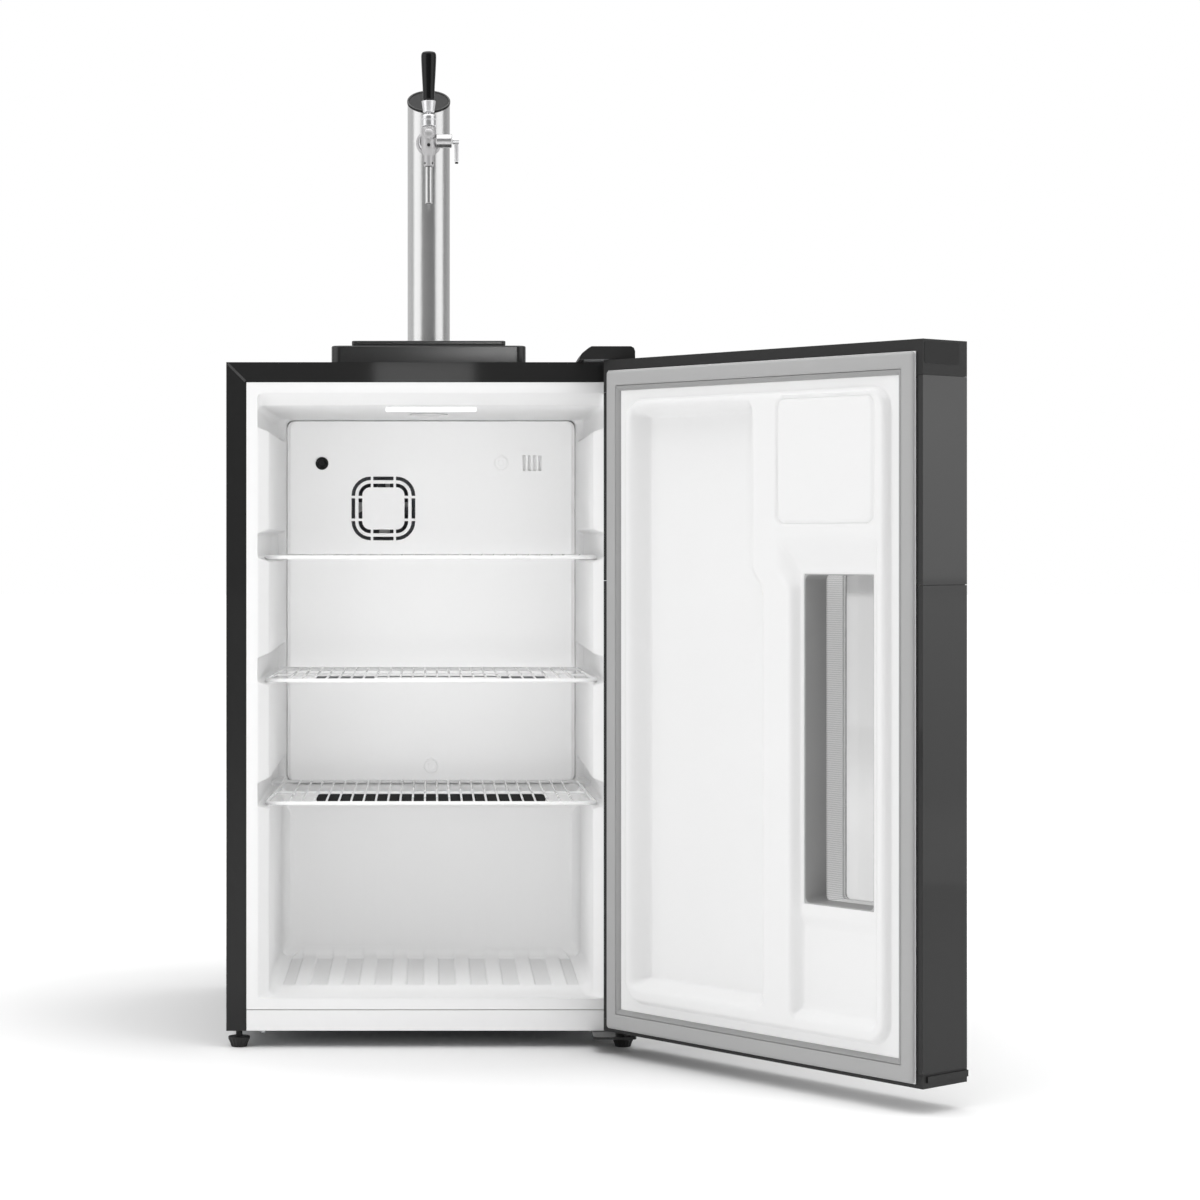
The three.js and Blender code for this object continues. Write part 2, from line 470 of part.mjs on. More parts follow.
// Tap: shank through the column, faucet body with its spout and flow control, lever and handle.
function addFaucet(group) {
  const { reach, shankHeight: z, controlHeight, pivotHeight, boss } = FAUCET;
  const alongY = (radius, span, sides = 18) => bar('y', [0, z], radius, span, sides);
  const shank = alongY(SHANK.radius, [-41.8, 4]).subtract(alongY(SHANK.bore, [-50, 10], 16));
  piece(group, 'faucet_shank', shank, 'chrome');
  const saddle = cut(alongY(16.3, [-33.5, -20], 24), [alongY(SHANK.clearance, [-40, 0]),
    bar('z', [0, 0], TOWER.radius + GAP, [1100, 1160], 32)]);
  piece(group, 'shank_flange', saddle, 'chrome');
  const nut = alongY(13, [-44, -33.8]).subtract(alongY(SHANK.clearance, [-50, -20]));
  piece(group, 'coupling_nut', nut, 'chrome');

  // Side view of the slot that the lever's finger swings back in; its floor is on the bore.
  const [slotFront, slotTop, slotFloor] = [reach - 2.4, BODY_TOP + 1, 1136.5];
  const leverSlot = [[slotFront, slotTop], [reach + 8.1, slotTop], [reach + 14.4, slotFloor],
    [slotFront, slotFloor]];
  const body = cut(union([
    alongY(boss, [reach, -44.3]), bar('z', [0, reach], boss, [1116, BODY_TOP]),
    bar('y', [0, 1139.4], 7.5, [reach - 11, reach]),
    turned([[0, 1098], [6.5, 1098], [6.5, 1113], [boss, 1121], [0, 1121]]).translate([0, reach, 0]),
    bar('x', [reach, controlHeight], 8.9, [8.9, 30]), bar('x', [reach, controlHeight], 6, [0, 10])]),
  [prism('x', leverSlot, both(2.5)), alongY(SHANK.bore, [reach - 8.5, -40], 16),
    bar('z', [0, reach], SPOUT.bore, [1090, 1128], 12)]);
  piece(group, 'faucet_body', body, 'chrome');
  const spout = bar('z', [0, 0], SPOUT.radius, [SPOUT.bottom, SPOUT.top])
    .subtract(bar('z', [0, 0], SPOUT.bore, [SPOUT.bottom - 1, SPOUT.top + 1], 16));
  piece(group, 'spout_tube', spout, 'stainless', [0, reach, 0]);
  const bonnet = turned([[8, 0], [9.5, 0], [9.5, 12.5], [8.2, 14.3], [6.5, 15.3], [5.2, 15.3],
    [5.2, 8.4], [8, 0]]);
  piece(group, 'faucet_bonnet', bonnet, 'chrome', [0, reach, BODY_TOP + GAP]);
  const shaft = alongY(SHANK.shaft, [reach - 6, -42], 12).add(alongY(4, [reach - 5, reach - 3], 16));
  piece(group, 'faucet_shaft', shaft, 'stainless');
  const { tip, width, x: leverX } = FLOW_LEVER;
  const flowLever = union([bar('x', [reach, controlHeight], 4.2, [30.3, 39], 16),
    roundedPrism('x', [reach - width / 2, reach + width / 2], [tip, controlHeight], 1.9, leverX)]);
  piece(group, 'flow_lever', flowLever, 'chrome');

  const lever = turned([[0, -23.8], [1.8, -23.8], [1.8, -4.2], [3.4, -3.1], [4.6, 0], [3.4, 3.1],
    [3, 3.6], [3, 6], [7.2, 6], [9.2, 21], [0, 21]]);
  piece(group, 'tap_lever', lever, 'chrome', [0, reach, pivotHeight]);
  const handle = turned([[0, 21.3], [7.9, 21.3], [7.6, 28], [7.8, 36], [8.9, 56], [9.6, 74],
    [9.75, 79], [9.3, 82], [7.5, 83.8], [4, 84.5], [0, 84.5]]);
  piece(group, 'tap_handle', handle, 'black_plastic', [0, reach, pivotHeight]);
}

// Door panels are drawn in the door's own frame: u runs from the hinge edge to the free edge, t from
// the inner rim plane to the outer face, and z up.
function relief(grow, margin) {
  const { u, z, rise, draft, radius } = DYKE;
  const inset = ([low, high], by) => [low + by, high - by];
  const plate = block([9.3 - margin, 489.7 + margin], [grow, 60], [33.2 - margin, 823.5 + margin]);
  const dyke = loft([ring(inset(u, grow), inset(z, grow), radius - grow, 20),
    ring(inset(u, grow), inset(z, grow), radius - grow, grow),
    ring(inset(u, draft + grow), inset(z, draft + grow), radius - draft - grow, grow - rise)]);
  const pocket = (spanU, spanZ, floorU, floorZ, floor, corner) => loft([
    ring(inset(spanU, -grow), inset(spanZ, -grow), corner + grow, -rise - 1),
    ring(inset(spanU, -grow), inset(spanZ, -grow), corner + grow, -rise + grow),
    ring(inset(floorU, -grow), inset(floorZ, -grow), corner + grow, floor + grow)]);
  return cut(plate.add(dyke), [
    pocket([55.5, 256], [87, 779], [63, 249], [95, 771], 16, 14),
    pocket([55.5, 273], [87, 556], [63, 266], [95, 546], 16, 14),
    pocket([293, 442], [560, 624], [322, 440], [561, 587], WINDOW.lip, 8),
    pocket([312, 442], [87, 580], [317, 440], [93, 579], WINDOW.lip, 8)]);
}

function addDoor(group) {
  const { width, thickness, bottom, top } = DOOR;
  const { trim, middle, module } = DOOR_SEAMS;
  const inner = [SHEET, width - SHEET];
  const aperture = roundedPrism('y', WINDOW.u, WINDOW.z, 6, [60, 80]);
  const skin = (span) => cut(block([0, width], [0, thickness], span), [
    block(inner, [SHEET, thickness - SHEET], [0, 900]), block([9, width - 9], [-1, 3], [0, 900]), aperture]);
  piece(group, 'door_upper_skin', skin([middle + GAP, module]), 'black_steel');
  piece(group, 'door_lower_skin', skin([trim + GAP, middle - GAP]), 'black_steel');

  const pinHole = (span) => bar('z', [11.6, 29.2], HINGE.pin + 0.4, span, 16);
  const hollow = [2.5, width - 2.5];
  const topTrim = cut(block([0, width], [0, thickness], [module + GAP, top]), [
    block(hollow, [2.5, thickness - 2.5], [700, top - 2.5]), block([9, 490], [-1, 3], [700, 823.8]),
    pinHole([800, 850]), block([179.7, 320.3], [60, 80], [805.7, 828.3])]);
  piece(group, 'door_top_trim', topTrim, 'black_plastic');
  const display = roundedPrism('y', [180, 320], [806, 828], 2, [70.4, 72.7]);
  piece(group, 'control_panel', display, 'black_plastic');
  const lowTrim = cut(block([0, width], [0, thickness], [bottom, trim]).add(
    block([width - 1, width + 2], [6, thickness], [35, 42])), [
    block(hollow, [2.5, thickness - 2.5], [bottom + 2.5, 60]), block([9, 490], [-1, 3], [32.9, 60]),
    pinHole([20, 60])]);
  piece(group, 'door_bottom_trim', lowTrim, 'black_plastic');

  const around = (span, by) => [span[0] - by, span[1] + by];
  const framePocket = roundedPrism('y', around(WINDOW.u, 2.3), around(WINDOW.z, 2.3), 6, [-5, 50]);
  const panel = frame('y', [294.5, 437], [639, 778.5], [297.5, 434], [642, 775.5], [-11, -8], 10);
  const liner = cut(relief(0, 0), [relief(WALL, 5), framePocket, panel]);
  piece(group, 'door_liner', liner, 'white_plastic');
  const bead = (by) => [[9.6 + by, 489.4 - by], [33.5 + by, 823.2 - by]];
  const gasket = loft([ring(...bead(0), 3, -GAP), ring(...bead(0), 3, -4), ring(...bead(3), 3, -6.5)])
    .subtract(roundedPrism('y', [32, 467], [58.4, 798.5], 2, [-8, 1]));
  piece(group, 'door_gasket', gasket, 'grey_rubber');

  const glass = [around(WINDOW.u, 8), around(WINDOW.z, 8)];
  const { innerPane, outerPane, pane, lip } = WINDOW;
  const tunnel = frame('y', around(WINDOW.u, 2), around(WINDOW.z, 2), WINDOW.u, WINDOW.z,
    [lip, innerPane - GAP], 6);
  piece(group, 'window_frame', tunnel, 'dark_frame');
  const sheet = (from) => roundedPrism('y', ...glass, 4, [from, from + pane]);
  piece(group, 'inner_glass', sheet(innerPane), 'clear_glass');
  piece(group, 'outer_glass', sheet(outerPane), 'clear_glass');
  const spacer = frame('y', ...glass, WINDOW.u, WINDOW.z, [innerPane + pane + GAP, outerPane - GAP], 4);
  piece(group, 'glass_spacer', spacer, 'dark_frame');
  const filling = block([SHEET + GAP, width - SHEET - GAP], [0, thickness - SHEET - GAP],
    [trim + GAP, module]);
  const windowRoom = roundedPrism('y', ...glass.map((span) => around(span, GAP)), 4, [-20, 80]);
  const foam = cut(relief(WALL + GAP, 20).add(block([-5, 505], [16 + WALL + GAP, 90], [0, 900]))
    .intersect(filling), [windowRoom]);
  piece(group, 'door_foam', foam, 'foam');
}

// Assembly.
const fridge = new THREE.Group();
const cabinet = new THREE.Group();
cabinet.position.set(FOOT.x, -FOOT.y, 0);
fridge.add(cabinet);
addCabinet(cabinet);
addRearWall(cabinet);
addShelves(cabinet);
addMachinery(cabinet);
addFeet(cabinet);
addHinges(cabinet);

const tower = new THREE.Group();
tower.position.set(TOWER.x, TOWER.y, 0);
cabinet.add(tower);
addTower(tower);
addFaucet(tower);

const door = new THREE.Group();
door.position.set(HINGE.x, HINGE.y, 0);
door.rotation.z = radians(DOOR.openDegrees);
cabinet.add(door);
const doorPanel = new THREE.Group();
doorPanel.position.set(CABINET.half - 0.5 - HINGE.x, -DOOR_GAP - HINGE.y, 0);
doorPanel.rotation.z = Math.PI;
door.add(doorPanel);
addDoor(doorPanel);

export default fridge;
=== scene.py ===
import json
import math

import bmesh
import bpy
from mathutils import Matrix, Vector


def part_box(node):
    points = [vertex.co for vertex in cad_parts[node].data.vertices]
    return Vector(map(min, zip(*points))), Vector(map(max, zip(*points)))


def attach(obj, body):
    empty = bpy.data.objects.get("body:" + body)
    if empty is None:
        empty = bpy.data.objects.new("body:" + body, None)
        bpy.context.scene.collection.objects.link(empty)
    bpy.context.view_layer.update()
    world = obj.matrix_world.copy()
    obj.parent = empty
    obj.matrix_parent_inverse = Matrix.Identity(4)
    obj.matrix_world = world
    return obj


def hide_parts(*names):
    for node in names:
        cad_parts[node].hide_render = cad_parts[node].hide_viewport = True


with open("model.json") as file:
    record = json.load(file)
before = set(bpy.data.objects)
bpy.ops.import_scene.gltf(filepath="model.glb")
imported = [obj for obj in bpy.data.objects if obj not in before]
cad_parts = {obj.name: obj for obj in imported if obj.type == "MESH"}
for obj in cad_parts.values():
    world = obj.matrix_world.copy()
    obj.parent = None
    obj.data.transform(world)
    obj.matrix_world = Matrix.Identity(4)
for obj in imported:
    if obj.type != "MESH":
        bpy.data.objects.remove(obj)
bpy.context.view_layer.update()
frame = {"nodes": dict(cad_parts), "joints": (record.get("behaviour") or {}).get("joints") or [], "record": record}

# Lengths are millimetres in two drawing frames, and a placing matrix takes them to the row frame.
# CABINET has X = 0 on the mid-plane, Y = 0 on the front and Z = 0 on the floor. DOOR has u from the
# hinge edge to the free edge, t from the inner rim to the outer face, and z up.
MM = 0.001
shell_low, shell_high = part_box("cabinet_shell")
CABINET = Matrix.Translation(((shell_low.x + shell_high.x) / 2, shell_low.y, 0)) @ Matrix.Scale(MM, 4)
DOOR_OPEN = math.radians(130)
PIN_INSET = Vector((11.6, 29.2, 0))  # hinge axis in the door's own frame
pivot = next(joint for joint in frame["joints"] if joint["name"] == "door_swing")["pos_m"]
DOOR = (Matrix.Translation((pivot[0], pivot[1], 0)) @ Matrix.Rotation(DOOR_OPEN + math.pi, 4, "Z")
        @ Matrix.Scale(MM, 4) @ Matrix.Translation(-PIN_INSET))
TAP_AXIS = -3, 178  # X and Y of the tap's upright axis
COLUMN_AXIS = -3, 240


# Inputs of a shader node by name or number: a socket is linked in and a plain value is set.
def set_inputs(node, inputs):
    for name, value in inputs.items():
        if isinstance(value, bpy.types.NodeSocket):
            node.id_data.links.new(value, node.inputs[name])
        else:
            node.inputs[name].default_value = value


def add_node(tree, kind, inputs=None, **settings):
    node = tree.nodes.new("ShaderNode" + kind)
    for name, value in settings.items():
        setattr(node, name, value)
    set_inputs(node, inputs or {})
    return node


# Camera, lights and floor.
def add_camera():
    camera = bpy.data.objects.new("camera", bpy.data.cameras.new("camera"))
    bpy.context.scene.collection.objects.link(camera)
    camera.location = (0.235, -3.601, 0.619)
    camera.rotation_euler = (math.radians(90), 0, 0)
    camera.data.lens = 88.2
    camera.data.sensor_width = 36
    camera.data.shift_x = 0.1408
    camera.data.shift_y = -0.0494
    bpy.context.scene.camera = camera


# Area lights: place, aim, size, watts and the pieces they light. The first three light everything; each
# of the others adds one sheen or fill and nothing else.
BACK_WALL = ["cover_panel", "louvre_backing", "upper_plug_cap", "lower_plug_cap"]
LINING = ["cavity_liner", "front_rail", "wire_shelf_bottom", "wire_shelf_middle", "wire_shelf_top"]
DOOR_EDGE = ["door_upper_skin", "door_lower_skin", "door_top_trim", "door_bottom_trim", "control_panel"]
SOFTBOXES = {
    "overhead": ((0.4, -0.3, 3.6), (0.4, 0.1, 0), (5, 5), 145, None),
    "left_box": ((-3.2, -1.4, 1.5), (0.2, 0.2, 0.9), (3.4, 2.8), 26, None),
    "right_box": ((3.6, -1.7, 1.8), (0.3, 0.2, 1.0), (3.4, 2.6), 29, None),
    "side_box": ((2.9, -0.45, 0.8), (0.8, -0.43, 0.71), (0.7, 1.6), 0.112, DOOR_EDGE),
    "back_fill": ((0.235, 0.012, 0.53), (0.235, 1, 0.53), (0.38, 0.5), 1.08, BACK_WALL),
    "cavity_fill": ((0.235, 0.012, 0.53), (0.235, 1, 0.53), (0.38, 0.5), 0.17, BACK_WALL + LINING),
    "low_fill": ((0.235, 0.012, 0.16), (0.235, 1, 0.18), (0.36, 0.14), 0.07, LINING),
    "front_fill": ((0.235, -0.75, 0.4), (0.235, 1, 0.4), (0.4, 0.8), 1.2, BACK_WALL + LINING),
    "front_glint": ((0.21, -7, 1.17), (0.21, 0, 1), (0.36, 0.2), 0.95, ["cabinet_shell"]),
    "plinth_glint": ((0.66, -7, 1.42), (0.3, 0, 1), (0.7, 0.24), 11.5, ["plinth_body", "slotted_grille"]),
}
SIDE_BEAM = math.radians(22)  # narrow, so that the sheen on the door's edge fades towards the floor


def add_softboxes():
    for name, (place, aim, size, watts, pieces) in SOFTBOXES.items():
        light = bpy.data.lights.new(name, "AREA")
        light.shape = "RECTANGLE"
        light.size, light.size_y = size
        light.energy = watts
        if name == "side_box":
            light.spread = SIDE_BEAM
        softbox = bpy.data.objects.new(name, light)
        bpy.context.scene.collection.objects.link(softbox)
        softbox.location = place
        softbox.rotation_euler = (Vector(aim) - Vector(place)).to_track_quat("-Z", "Y").to_euler()
        if pieces:
            group = bpy.data.collections.new(name + "_pieces")
            for piece in pieces:
                group.objects.link(bpy.data.objects[piece])
            softbox.light_linking.receiver_collection = group


# The backdrop is white where the camera sees it. The light it gives is a dimmer dome that is darkest
# at the front right and brightest at the back left.
def add_world():
    world = bpy.data.worlds.new("studio")
    bpy.context.scene.world = world
    world.use_nodes = True
    tree = world.node_tree
    place = add_node(tree, "TexCoord")
    toward = add_node(tree, "VectorMath", {0: place.outputs["Generated"], 1: (-0.5, 0.85, 0)},
                      operation="DOT_PRODUCT")
    level = add_node(tree, "MapRange", {"Value": toward.outputs["Value"], "From Min": -1, "To Min": 0.2,
                                        "To Max": 0.7})
    dome = tree.nodes["Background"]
    set_inputs(dome, {"Color": (1, 1, 1, 1), "Strength": level.outputs["Result"]})
    backdrop = add_node(tree, "Background", {"Color": (1, 1, 1, 1), "Strength": 1})
    rays = add_node(tree, "LightPath")
    either = add_node(tree, "MixShader", {0: rays.outputs["Is Camera Ray"], 1: dome.outputs[0],
                                          2: backdrop.outputs[0]})
    set_inputs(tree.nodes["World Output"], {"Surface": either.outputs[0]})


# Paper that glows a little away from the cabinet, and that is lit evenly towards the backdrop.
def add_floor():
    size = 30
    mesh = bpy.data.meshes.new("floor")
    corners = [(-size, -size, 0), (size, -size, 0), (size, size, 0), (-size, size, 0)]
    mesh.from_pydata(corners, [], [(0, 1, 2, 3)])
    floor = bpy.data.objects.new("floor", mesh)
    bpy.context.scene.collection.objects.link(floor)
    paper = bpy.data.materials.new("floor_paper")
    paper.use_nodes = True
    tree = paper.node_tree
    place = add_node(tree, "TexCoord").outputs["Object"]
    split = add_node(tree, "SeparateXYZ", {0: place})
    away = add_node(tree, "VectorMath", {0: place, 1: (0.235, 0.24, 0)}, operation="DISTANCE")
    near = add_node(tree, "MapRange", {"Value": away.outputs["Value"], "From Min": 0.4, "From Max": 0.75,
                                       "To Max": 0.16})
    far = add_node(tree, "MapRange", {"Value": split.outputs["Y"], "From Min": 0.6, "From Max": 3.2,
                                      "To Max": 0.55})
    glow = add_node(tree, "Math", {0: near.outputs["Result"], 1: far.outputs["Result"]})
    set_inputs(tree.nodes["Principled BSDF"], {
        "Base Color": (0.9, 0.9, 0.9, 1), "Roughness": 0.9, "Specular IOR Level": 0.1,
        "Emission Color": (1, 1, 1, 1), "Emission Strength": glow.outputs[0]})
    mesh.materials.append(paper)


def add_studio():
    add_camera()
    add_world()
    add_floor()
    add_softboxes()
    bpy.context.scene.view_settings.view_transform = "Standard"


# Materials: a tone that drifts over the surface, a roughness that drifts with it, and a fine grain.
FINISHES = {}


def add_finish(name, color, roughness, metallic=0.0, mottle=0.04, patch_scale=6.0, grain=0.1,
               grain_scale=900.0, stretch=(1, 1, 1), specular=0.5, coat=0.0, coat_roughness=0.04):
    material = bpy.data.materials.new(name)
    material.use_nodes = True
    tree = material.node_tree
    place = add_node(tree, "TexCoord").outputs["Object"]
    patches = add_node(tree, "TexNoise", {"Vector": place, "Scale": patch_scale, "Detail": 5})
    darker = (*[max(0, level * (1 - mottle)) for level in color], 1)
    lighter = (*[min(1, level * (1 + mottle)) for level in color], 1)
    tone = add_node(tree, "Mix", {"Factor": patches.outputs["Fac"], 6: darker, 7: lighter},
                    data_type="RGBA")
    drift = add_node(tree, "MapRange", {"Value": patches.outputs["Fac"], "To Min": roughness * 0.85,
                                        "To Max": roughness * 1.15})
    shader = tree.nodes["Principled BSDF"]
    set_inputs(shader, {"Base Color": tone.outputs[2], "Roughness": drift.outputs["Result"],
                        "Metallic": metallic, "Specular IOR Level": specular, "Coat Weight": coat,
                        "Coat Roughness": coat_roughness})
    if grain:
        lay = add_node(tree, "Mapping", {"Vector": place, "Scale": stretch})
        fine = add_node(tree, "TexNoise", {"Vector": lay.outputs["Vector"], "Scale": grain_scale,
                                           "Detail": 3})
        bump = add_node(tree, "Bump", {"Height": fine.outputs["Fac"], "Strength": grain,
                                       "Distance": 0.0003})
        set_inputs(shader, {"Normal": bump.outputs["Normal"]})
    FINISHES[name] = material
    return material


# Painted shade: a slightly darker tone in the floor grooves, below the floor and behind their front ends, standing
# in for the shade in these recesses.
def paint_groove_shade(material, below, behind, tone):
    tree = material.node_tree
    shader = tree.nodes["Principled BSDF"]
    plain = shader.inputs["Base Color"].links[0].from_socket
    split = add_node(tree, "SeparateXYZ", {0: add_node(tree, "TexCoord").outputs["Object"]})
    ramps = [add_node(tree, "MapRange", {"Value": split.outputs[axis], "From Min": span[0],
                                         "From Max": span[1]})
             for axis, span in (("Z", below), ("Y", behind))]
    share = add_node(tree, "Math", {0: ramps[0].outputs["Result"], 1: ramps[1].outputs["Result"]},
                     operation="MULTIPLY")
    shade = add_node(tree, "Mix", {"Factor": share.outputs[0], 6: plain, 7: (tone, tone, tone, 1)},
                     data_type="RGBA", blend_type="MULTIPLY")
    set_inputs(shader, {"Base Color": shade.outputs[2]})


# Window glass, tinted grey.
def add_glass(name, tint):
    material = add_finish(name, grey(tint), 0.03, mottle=0, grain=0)
    shader = material.node_tree.nodes["Principled BSDF"]
    set_inputs(shader, {"Transmission Weight": 1, "IOR": 1.45})


# The strip between the panes: light grey with a fine horizontal rib. It also glows at half strength, painted light
# for the light that reaches it between the panes.
def add_ribbed(name, low, high, pitch):
    tree = add_finish(name, grey(high), 0.5, mottle=0, grain=0).node_tree
    split = add_node(tree, "SeparateXYZ", {0: add_node(tree, "TexCoord").outputs["Object"]})
    phase = add_node(tree, "Math", {0: split.outputs["Z"], 1: 2 * math.pi / pitch}, operation="MULTIPLY")
    wave = add_node(tree, "Math", {0: phase.outputs[0]}, operation="SINE")
    rib = add_node(tree, "MapRange", {"Value": wave.outputs[0], "From Min": -1, "To Min": low,
                                      "To Max": high})
    # Painted light: the rib's tone also glows at half strength.
    set_inputs(tree.nodes["Principled BSDF"], {
        "Base Color": rib.outputs["Result"], "Emission Color": rib.outputs["Result"],
        "Emission Strength": 0.5})


def grey(level):
    return level, level, level


def add_finishes():
    add_finish("black_steel", grey(0.015), 0.36, mottle=0.12, grain=0.22, grain_scale=700,
               specular=0.13, coat=0.35)
    add_finish("black_plastic", grey(0.014), 0.42, mottle=0.15, grain=0.35, grain_scale=1600,
               specular=0.3)
    add_finish("plinth_black", grey(0.012), 0.4, mottle=0.12, grain=0.2, grain_scale=1200,
               specular=0.3, coat=0.6, coat_roughness=0.14)
    for name in ("white_plastic", "liner_white"):
        add_finish(name, grey(0.86), 0.42, mottle=0.012, patch_scale=3, grain=0.06, grain_scale=500)
    # Painted shade in the liner's floor grooves.
    paint_groove_shade(FINISHES["liner_white"], (0.0673, 0.0659), (0.046, 0.049), 0.9)
    add_finish("white_wire", grey(0.78), 0.28, mottle=0.02, grain_scale=400)
    add_finish("grey_gasket", grey(0.41), 0.55, mottle=0.05, grain=0.2, grain_scale=1200)
    # Painted shade: the gasket's sloping lip is a darker grey than the band.
    add_finish("shaded_gasket_grey", grey(0.33), 0.5, mottle=0.05, grain=0.2, grain_scale=1200)
    add_finish("grey_plastic", grey(0.3), 0.5, grain=0.2)
    add_finish("window_grey", grey(0.42), 0.5, grain=0.2)
    add_finish("stainless", grey(0.66), 0.22, 1.0, grain=0.25, grain_scale=1500, stretch=(1, 1, 0.015))
    add_finish("chrome", (0.72, 0.72, 0.73), 0.1, 1.0, mottle=0.02, grain=0.03, grain_scale=300)
    add_finish("cast_chrome", (0.52, 0.515, 0.52), 0.42, 0.7, mottle=0.03, grain=0.08, grain_scale=600)
    add_finish("satin_chrome", (0.56, 0.555, 0.56), 0.24, 0.9, mottle=0.03, grain=0.05, grain_scale=600)
    add_finish("turned_chrome", (0.74, 0.74, 0.75), 0.27, 1.0, mottle=0.02, grain=0.04, grain_scale=300)
    add_finish("bright_chrome", (0.92, 0.92, 0.93), 0.38, 1.0, mottle=0.02, grain=0.04, grain_scale=600)
    add_finish("zinc_steel", (0.45, 0.46, 0.47), 0.42, 0.9, mottle=0.2, patch_scale=40, grain=0.15)
    add_finish("copper", (0.5, 0.2, 0.09), 0.32, 0.9, mottle=0.15)
    add_finish("foam", (0.82, 0.8, 0.74), 0.9, mottle=0.1, patch_scale=60, grain=0.8, grain_scale=300)
    add_finish("black_rubber", grey(0.012), 0.6, mottle=0.2, grain=0.4, grain_scale=700)
    add_finish("mitre_black", grey(0.05), 0.4, mottle=0.1, grain=0.2)
    add_finish("glossy_black", grey(0.002), 0.16, mottle=0.1, grain=0.05, specular=0.32)
    add_finish("lid_black", grey(0.003), 0.4, mottle=0.3, patch_scale=300, grain=0.5,
               grain_scale=1200, specular=0.17)
    add_finish("dark_filter", (0.12, 0.125, 0.135), 0.6, mottle=0.75, patch_scale=320, grain=0.4)
    add_glass("clear_glass", 0.74)
    add_ribbed("ribbed_spacer", 0.6, 0.9, 0.0021)
    lens = add_finish("lamp_lens", grey(1), 0.3, mottle=0, grain=0.05)
    set_inputs(lens.node_tree.nodes["Principled BSDF"],
               {"Emission Color": (1, 1, 1, 1), "Emission Strength": 0.8})


# Mesh pieces. A shape is a list of points and a list of faces, drawn in millimetres.
def join(shapes):
    points, faces = [], []
    for more_points, more_faces in shapes:
        start = len(points)
        points += more_points
        faces += [tuple(start + corner for corner in face) for face in more_faces]
    return points, faces


def moved(shape, matrix):
    return [matrix @ Vector(point) for point in shape[0]], shape[1]


def add_piece(name, shape, place, finish, body, nodes=(), crease=35):
    mesh = bpy.data.meshes.new(name)
    mesh.from_pydata([tuple(point) for point in shape[0]], [], shape[1])
    mesh.transform(place)
    tidy = bmesh.new()
    tidy.from_mesh(mesh)
    bmesh.ops.remove_doubles(tidy, verts=tidy.verts, dist=1e-6)
    bmesh.ops.dissolve_degenerate(tidy, edges=tidy.edges, dist=1e-6)
    bmesh.ops.recalc_face_normals(tidy, faces=tidy.faces)
    tidy.to_mesh(mesh)
    tidy.free()
    mesh.shade_smooth()
    mesh.set_sharp_from_angle(angle=math.radians(crease))
    mesh.materials.append(FINISHES[finish])
    piece = bpy.data.objects.new(name, mesh)
    bpy.context.scene.collection.objects.link(piece)
    shading = piece.modifiers.new("flat_faces_stay_flat", "WEIGHTED_NORMAL")
    shading.keep_sharp = True
    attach(piece, body)
    if nodes:
        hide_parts(*nodes)
    return piece


def arc(centre, radius, start, end, steps):
    turns = [math.radians(start + (end - start) * step / steps) for step in range(steps + 1)]
    return [(centre[0] + radius * math.cos(turn), centre[1] + radius * math.sin(turn)) for turn in turns]


# A rounded rectangle as a closed outline, anticlockwise from its lower right corner.
def rounded(span_a, span_b, radius, steps=6):
    (a0, a1), (b0, b1) = span_a, span_b
    corners = [(a1 - radius, b0 + radius), (a1 - radius, b1 - radius),
               (a0 + radius, b1 - radius), (a0 + radius, b0 + radius)]
    outline = []
    for quarter, corner in enumerate(corners):
        outline += arc(corner, radius, 90 * quarter - 90, 90 * quarter, steps)
    return outline


def inset(span, by):
    return span[0] + by, span[1] - by


# Faces between rings of points; the stack can be capped or closed on itself.
def loft(rings, capped=True, closed=False):
    count = len(rings[0])
    points = [point for ring in rings for point in ring]
    faces = []
    levels = len(rings) if closed else len(rings) - 1
    for level in range(levels):
        here, there = level * count, (level + 1) % len(rings) * count
        for step in range(count):
            after = (step + 1) % count
            faces.append((here + step, here + after, there + after, there + step))
    if capped and not closed:
        faces.append(tuple(reversed(range(count))))
        faces.append(tuple(range(len(points) - count, len(points))))
    return points, faces


# A turned piece about an upright axis from (radius, height) pairs, its corners broken by `soft`.
# Grooves of depth `bite` can run up it, `lobes` of them, between the heights in `bitten`.
def lathe(profile, soft=0.4, sides=48, lobes=0, bite=0.0, bitten=(0, 0)):
    rings = []
    for radius, height in soften_outline(profile, soft):
        ring = []
        for side in range(sides):
            turn = 2 * math.pi * side / sides
            wave = 0.5 + 0.5 * math.cos(lobes * turn) if bitten[0] <= height <= bitten[1] else 0
            reach = radius - bite * wave
            ring.append((reach * math.cos(turn), reach * math.sin(turn), height))
        rings.append(ring)
    return loft(rings, capped=False)


# The points of a curve from `start` to `end` that rounds the corner between them.
def bend(start, corner, end, steps):
    shares = [step / steps for step in range(steps + 1)]
    return [(1 - share) ** 2 * start + 2 * share * (1 - share) * corner + share ** 2 * end
            for share in shares]


def soften_outline(profile, soft):
    line = [profile[0]]
    for before, corner, after in zip(profile, profile[1:], profile[2:]):
        here = Vector(corner)
        back, ahead = Vector(before) - here, Vector(after) - here
        reach = min(soft, back.length / 2.1, ahead.length / 2.1)
        if reach < 0.01:
            line.append(corner)
            continue
        start, end = here + back.normalized() * reach, here + ahead.normalized() * reach
        line += [tuple(point) for point in bend(start, here, end, 4)]
    return line + [profile[-1]]


# A plate with holes: outlines in two coordinates, with thickness along a third and softened edges.
AXES = {
    "x": Matrix(((0, 0, 1, 0), (1, 0, 0, 0), (0, 1, 0, 0), (0, 0, 0, 1))),
    "y": Matrix(((1, 0, 0, 0), (0, 0, 1, 0), (0, 1, 0, 0), (0, 0, 0, 1))),
    "z": Matrix.Identity(4),
}


